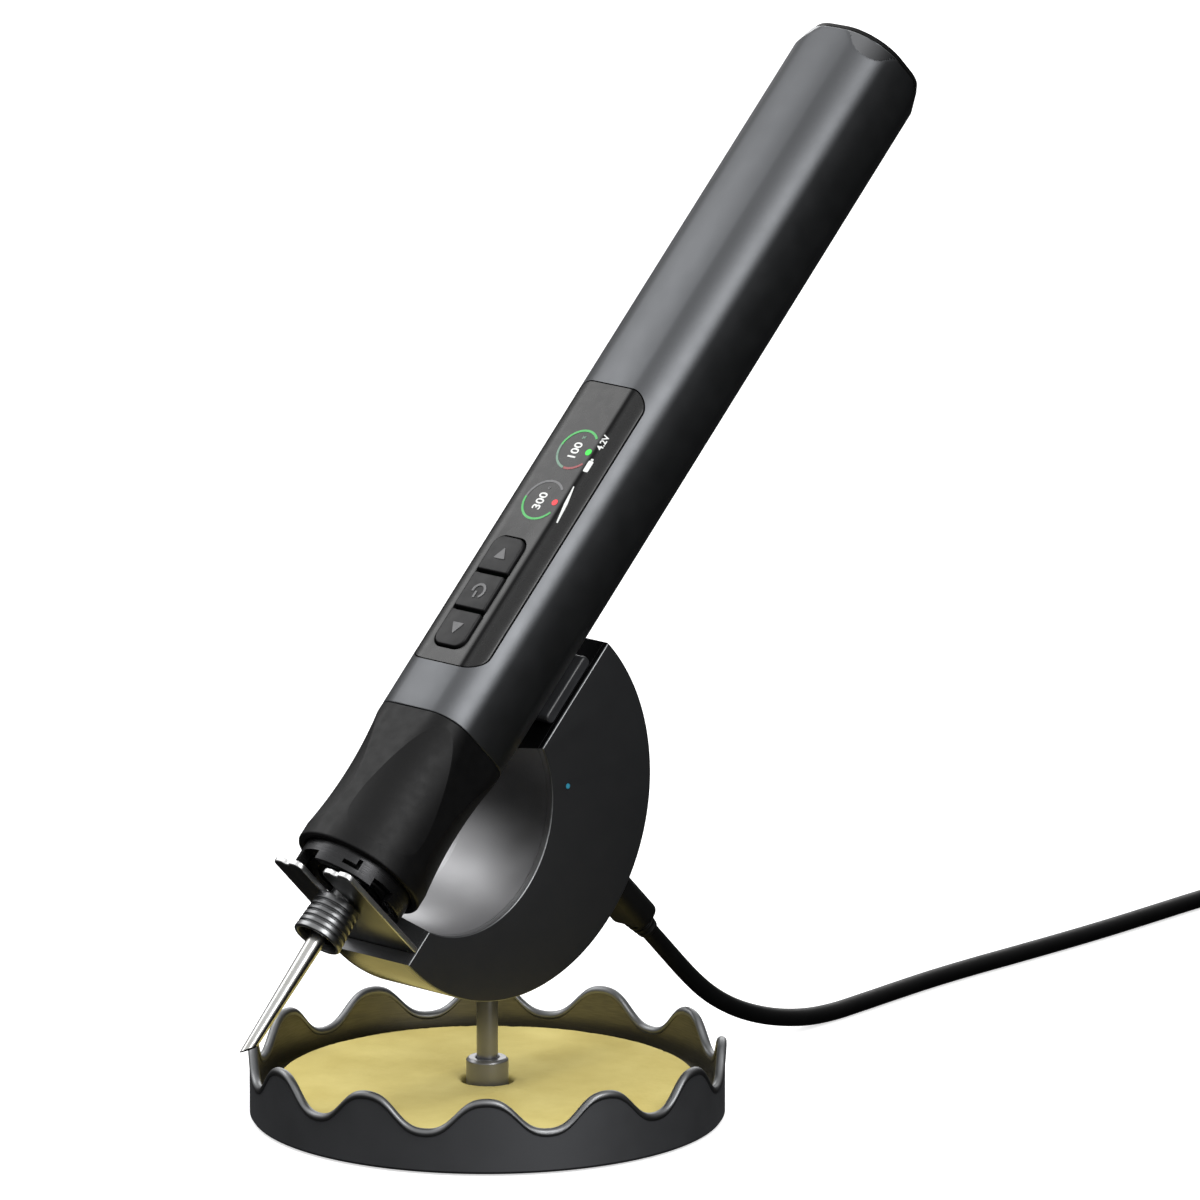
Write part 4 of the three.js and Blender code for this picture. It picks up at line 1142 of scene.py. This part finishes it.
def make_display():
    marks = Marks()
    for start, end, look in ((-46, 85, "green"), (85, 170, "mint"), (172, 231, "red")):
        marks.arc(UPPER_GAUGE, RING_R, RING_W, start, end, look)
    for start, end, look in ((-48, 88, "grey"), (88, 239, "green")):
        marks.arc(LOWER_GAUGE, RING_R, RING_W, start, end, look)
    marks.text("100", (UPPER_GAUGE[0] - 0.4, UPPER_GAUGE[1] + 0.2), 2.9, "white", 0.95)
    marks.text("300", (LOWER_GAUGE[0] - 0.35, LOWER_GAUGE[1] + 0.3), 2.9, "white", 0.95)
    marks.text("%", (UPPER_GAUGE[0] + 2.9, UPPER_GAUGE[1]), 1.2, "mint")
    marks.text("°", (LOWER_GAUGE[0] + 2.9, LOWER_GAUGE[1] - 0.5), 2.0, "grey")
    marks.dot((UPPER_GAUGE[0] - 0.1, UPPER_GAUGE[1] - 3.2), 0.75, "green_dot")
    marks.dot((LOWER_GAUGE[0], LOWER_GAUGE[1] - 3.4), 0.7, "red_dot")
    marks.text("4.2V", (111.0, STRIP_Y + 0.3), 2.0, "white", 0.95)
    cell = rounded_box(103.9, 106.5, STRIP_Y - 0.2, STRIP_Y + 0.95, 0.25, steps=2)
    marks.add(cell, [tuple(range(len(cell)))], "white")
    low, high = STRIP_Y + 0.1, STRIP_Y + 0.65
    marks.add([(106.6, low), (107, low), (107, high), (106.6, high)], [(0, 1, 2, 3)], "white")
    near = [(91.8, -7.2), (96.2, -6.9), (100.2, -6.1)]
    far = [(91.8, -6.9), (96.2, -6.15), (100.2, -5.85)]
    marks.band(near, far, "white")
    marks.build("display_marks", height_over, "display_module")


def make_button(node):
    low, high = extent(node, PEN)
    first = node == BUTTONS[0]
    last = node == BUTTONS[-1]
    small = 0.45
    rounds = BUTTON_ROUND if last else small, BUTTON_ROUND if first else small
    outline = rounded_box(low[0], high[0], low[1], high[1], *rounds)
    base = PEN_HALF - 1.6
    key = prism("fine_" + node, outline, base, high[2], 0.32, steps=4)
    dress(key, node, PEN, ["button"], sharp=40)
    middle = ((low[0] + high[0]) / 2, (low[1] + high[1]) / 2)
    marks = Marks()
    size = 1.45
    if node == "button_power":
        marks.arc((middle[0] - 0.1, middle[1]), 1.5, 0.55, -150, 100, "icon")
        ends = middle[0] - 1.75, middle[0] - 0.2
        marks.band([(u, middle[1] + 0.2) for u in ends], [(u, middle[1] + 0.7) for u in ends], "icon")
    else:
        way = 1 if last else -1
        corners = [(-0.8 * way * size, -size), (-0.8 * way * size, size), (way * size, 0)]
        outline = soften(corners, 0.25, 3)
        points = [(middle[0] + p[0], middle[1] + p[1]) for p in outline]
        marks.add(points, [tuple(range(len(points)))], "icon")
    marks.build("icon_" + node, lambda y: high[2], node, 0.16, -0.03)


# ---------------------------------------------------------------- nose, barrel and tip

GRIP_LOW, GRIP_HIGH = extent("nose_grip", PEN)
RIM_U = GRIP_LOW[0]
RIM_R = 13.4
GRIP_BORE = 9.5
SCOOP = {"mid": 30.5, "low": 12.4, "rise": 0.0055, "round": 13.6}
SLEEVE_LOW, SLEEVE_HIGH = extent("nose_sleeve", PEN)
SLEEVE_R = (SLEEVE_HIGH[1] - SLEEVE_LOW[1]) / 2
SLEEVE_BORE = 9.6
NOTCH = {"wide": 5.2, "deep": 1.9, "turn": -0.25}
BAYONET_TURN = 0.62


def grip_surfaces(angle, u):
    """Distance from the axis of the grip's two surfaces: a rounded square that turns into a round
    rim, and the shallow scoop on each corner. The nearer one is the grip's."""
    t = (SHELL_LOW[0] - u) / (SHELL_LOW[0] - RIM_U)
    half = PEN_HALF + (RIM_R - PEN_HALF) * t
    corner = PEN_CORNER + (RIM_R - PEN_CORNER) * t
    base = square_radius(angle, half, corner)
    low = SCOOP["low"] + SCOOP["rise"] * (u - SCOOP["mid"]) ** 2
    back = SCOOP["round"] - low
    quarter = math.pi / 2
    off = angle - quarter * math.floor(angle / quarter) - quarter / 2
    sine = back * math.sin(off)
    return base, math.sqrt(SCOOP["round"] ** 2 - sine * sine) - back * math.cos(off)


def scoop_width(u):
    """Half the angle that a scoop takes up at a place along the grip."""
    low, high = 0.0, math.pi / 4
    for _ in range(24):
        middle = (low + high) / 2
        base, scoop = grip_surfaces(math.pi / 4 + middle, u)
        if scoop < base:
            low = middle
        else:
            high = middle
    return max(low, 0.02)


def grip_ring(u, drop=0.0):
    """A ring whose points keep to the scoops' edges, so that these stay crisp."""
    width = scoop_width(u)
    eighth = math.pi / 4
    start = eighth - width
    end = eighth + width
    runs = ((0, start, 26), (start, end, 24), (end, 2 * eighth, 26))
    quarter = np.concatenate([np.linspace(*run, endpoint=False) for run in runs])
    angles = np.concatenate([quarter + k * math.pi / 2 for k in range(4)])
    radii = np.array([min(grip_surfaces(a, u)) for a in angles]) - drop
    return ring_about_u(u, radii, angles)


def make_grip():
    back = GRIP_HIGH[0] + 0.1
    lip = 0.5
    rows = []
    for a in np.linspace(0, math.pi / 2, 5):
        ring = grip_ring(RIM_U + lip, lip * (1 - math.sin(a)))
        ring[:, 0] = RIM_U + lip * (1 - math.cos(a))
        rows.append(ring)
    rows += [grip_ring(u) for u in np.linspace(RIM_U + lip, back - 0.12, 110)[1:]]
    rows += [grip_ring(back - 0.05, 0.06), grip_ring(back, 0.3)]
    angles = full_turn(len(rows[0]))
    one = np.ones(len(angles))
    step = SLEEVE_HIGH[0] + 0.3
    bore = [(GRIP_BORE, back), (GRIP_BORE, step), (SLEEVE_R + 0.2, step)]
    bore += [(SLEEVE_R + 0.2, RIM_U + 0.4), (SLEEVE_R + 0.5, RIM_U)]
    rows += [ring_about_u(u, r * one, angles) for r, u in bore]
    grip = solid("fine_nose_grip", *grid(rows, True))
    dress(grip, "nose_grip", PEN, ["grip"], sharp=7)


def make_sleeve():
    u0 = SLEEVE_LOW[0]
    u1 = SLEEVE_HIGH[0]
    profile = [(SLEEVE_BORE, u0), (SLEEVE_R, u0), (SLEEVE_R, u1), (SLEEVE_BORE, u1)]
    sleeve = lathe("fine_nose_sleeve", profile, 0, 144, 0.3)
    cutters = []
    for k in range(4):
        half = NOTCH["wide"] / 2
        notch = block(u0 - 1, u0 + NOTCH["deep"], -half, half, 8, 14)
        cutters.append(turned(notch, Matrix.Rotation(k * math.pi / 2 + NOTCH["turn"], 4, "X")))
    run = block(u0 + 1.2, u0 + 2.1, -1.6, 1.6, 8, 14)
    end = block(u0 + 1.2, u0 + 3.4, -2.0, -1.1, 8, 14)
    cutters += [turned(cutter, Matrix.Rotation(BAYONET_TURN, 4, "X")) for cutter in (run, end)]
    carve(sleeve, *cutters)
    dress(sleeve, "nose_sleeve", PEN, ["sleeve"])

    low, high = extent("tip_socket", PEN)
    wide = (high[1] - low[1]) / 2
    depths = [(3.3, 1.2), (5.2, 1.2), (5.2, 0), (6.4, 0), (6.4, 0.5), (7.2, 0.5), (7.2, 0), (wide, 0)]
    profile = [(r, low[0] + depth) for r, depth in depths]
    profile += [(wide, high[0]), (2.1, high[0]), (2.1, low[0] + 2.6), (3.3, low[0] + 2.6)]
    dress(lathe("fine_tip_socket", profile, 0, 96, 0.2), "tip_socket", PEN, ["socket"])


BARREL = {"r0": 5.1, "end": 6.4, "r1": 4.6, "bore": 4.2, "neck": 2.6, "head": 3.0, "shoulder": 9.2}


def make_barrel():
    low, high = extent("barrel_nut", PEN)
    u0 = low[0]
    r0, r1, end = BARREL["r0"], BARREL["r1"], BARREL["end"]

    def radius(u):
        return r0 + (r1 - r0) * (u - u0) / (end - u0)

    profile = [(BARREL["bore"], u0 + 0.1), (r0 - 0.25, u0), (r0, u0 + 0.25)]
    half, floor = 0.24, 0.05  # half widths of a groove at its mouth and its floor
    for k in range(5):
        u = u0 + 1.5 + k * 1.35
        bottom = radius(u) - 0.34
        profile += [(radius(u - half), u - half), (bottom, u - floor)]
        profile += [(bottom, u + floor), (radius(u + half), u + half)]
    profile += [(r1, end), (BARREL["neck"], end), (BARREL["neck"], BARREL["shoulder"])]
    profile += [(BARREL["head"], BARREL["shoulder"]), (BARREL["head"], high[0])]
    profile += [(2.05, high[0]), (2.05, u0 + 4.8), (BARREL["bore"], u0 + 4.8)]
    barrel = lathe("fine_barrel", profile, 0, 96, 0.12)

    def choose(middle, normal):
        return 1 if middle.x < u0 + 1.0 and math.hypot(middle.y, middle.z) > 4.15 else 0

    dress(barrel, "barrel_nut", PEN, ["barrel", "barrel_lip"], choose)
    low, high = extent("barrel_bush", PEN)
    profile = [(2.05, low[0]), (3.65, low[0]), (3.65, high[0]), (2.05, high[0])]
    dress(lathe("fine_barrel_bush", profile, 0, 64, 0.15), "barrel_bush", PEN, ["bush"])


TIP_CUT = Vector((-1.0, -0.83, -0.96)).normalized()  # square to the sloped end of the tip


def make_tip():
    """A long, slightly tapered plated rod, cut off at a slope that leaves a point on one side."""
    low, high = extent("tip", PEN)
    end = low[0]
    r_end, r_front, shaft = 1.15, 1.75, 1.7
    profile = [(0, end), (r_end, end), (r_front, -2.0), (shaft, 4), (shaft, high[0]), (0, high[0])]
    tip = lathe("fine_tip", profile, 0, 64, 0.05, 2)
    shape = bmesh.new()
    shape.from_mesh(tip.data)
    across = Vector((0, -TIP_CUT.y, -TIP_CUT.z)).normalized()
    at = Vector((end, 0, 0)) + across * (r_end - 0.1)
    everything = [*shape.verts, *shape.edges, *shape.faces]
    cut = bmesh.ops.bisect_plane(shape, geom=everything, plane_co=at, plane_no=TIP_CUT, clear_outer=True)
    rim = [e for e in cut["geom_cut"] if isinstance(e, bmesh.types.BMEdge)]
    bmesh.ops.edgeloop_fill(shape, edges=rim)
    bmesh.ops.recalc_face_normals(shape, faces=shape.faces)
    shape.to_mesh(tip.data)
    shape.free()

    def choose(middle, face_normal):
        return 1 if face_normal.dot(TIP_CUT) > 0.98 and middle.x < end + 6 else 0

    dress(tip, "tip", PEN, ["tip", "tip_burnt"], choose)


# ---------------------------------------------------------------- studio


def make_studio():
    """A pale floor under a soft white sky. The floor isn't seen in reflections, and the sky is dark
    below the horizon and on one side, so that metal keeps its dark sides."""
    half = 8.0
    mesh = bpy.data.meshes.new("floor")
    corners = [(-half, -half, 0), (half, -half, 0), (half, half, 0), (-half, half, 0)]
    mesh.from_pydata(corners, [], [(0, 1, 2, 3)])
    floor = placed("floor", mesh)
    tree = Tree("floor_paper", (0.80, 0.80, 0.80), 0.9, 0.0, 0.0)
    tree.vary_colour(tree.noise((0.002, 0.002, 0.002), 2.0), (0.79, 0.79, 0.79))
    tree.wear({"Emission Color": (1, 1, 1, 1), "Emission Strength": 0.6})
    mesh.materials.append(tree.material)
    floor.visible_glossy = False
    floor.visible_diffuse = False

    world = bpy.data.worlds.new("sky")
    bpy.context.scene.world = world
    world.use_nodes = True
    tree = world.node_tree
    nodes = tree.nodes
    direction = nodes.new("ShaderNodeTexCoord").outputs["Generated"]
    height = feed(tree, nodes.new("ShaderNodeSeparateXYZ"), {"Vector": direction})["Z"]
    ramp = nodes.new("ShaderNodeValToRGB")
    colour = feed(tree, ramp, {"Fac": height})["Color"]
    aside = nodes.new("ShaderNodeVectorMath")
    aside.operation = "DOT_PRODUCT"
    aside = feed(tree, aside, {0: direction, 1: (HALF_ROOT, -HALF_ROOT, 0)})["Value"]
    dim = nodes.new("ShaderNodeMapRange")
    dim.interpolation_type = "SMOOTHSTEP"
    levels = {"From Min": 0.1, "From Max": 0.95, "To Min": 1.0, "To Max": 0.12}
    strength = feed(tree, dim, {**levels, "Value": aside})["Result"]
    feed(tree, nodes["Background"], {"Color": colour, "Strength": strength})
    stops = ramp.color_ramp.elements
    stops[0].color = (0.02, 0.02, 0.02, 1)
    stops[1].color = (0.7, 0.7, 0.7, 1)
    for place, level in ((0.12, 0.10), (0.35, 0.55), (0.55, 0.9), (0.72, 0.88), (0.85, 0.72)):
        stops.new(place).color = (level, level, level, 1)

    # Softboxes: where each stands from the pen's lower end, how far, its size in metres, its
    # radiance, and whether it is seen in reflections.
    beside = Vector((0.0, 0.0, 0.09))
    boxes = {
        "key": ((-0.12, -0.80, 0.58), 0.50, (0.28, 0.22), 5.5, True),
        "top": ((-0.24, 0.69, 0.68), 0.45, (0.28, 0.28), 2.0, True),
        "fill": ((-0.1, 0.0, 1.0), 1.2, (0.8, 0.8), 4.1, False),
        "rear": ((0.72, 0.62, 0.30), 1.5, (1.1, 0.7), 1.7, True),
        "front": ((-0.25, -0.95, 0.12), 1.6, (0.5, 0.5), 4.5, True),
    }
    for name, (toward, distance, size, radiance, glossy) in boxes.items():
        data = bpy.data.lights.new(name, "AREA")
        data.shape = "RECTANGLE"
        data.size, data.size_y = size
        data.energy = radiance * math.pi * size[0] * size[1]
        light = placed(name, data)
        light.location = beside + Vector(toward).normalized() * distance
        light.rotation_euler = (beside - light.location).to_track_quat("-Z", "Y").to_euler()
        light.visible_camera = False
        light.visible_glossy = glossy


# ---------------------------------------------------------------- build

make_tray()
make_sponge()
make_post()
make_cradle()
make_pad()
make_fork()
make_shell()
make_window()
make_display()
for button in BUTTONS:
    make_button(button)
make_grip()
make_sleeve()
make_barrel()
make_tip()
for cad_name, cad_node in frame["nodes"].items():
    if not cad_node.hide_render:
        cad_node.data.materials.clear()
        cad_node.data.materials.append(CAD_LOOKS[NODE_SLOT[cad_name]])
make_studio()
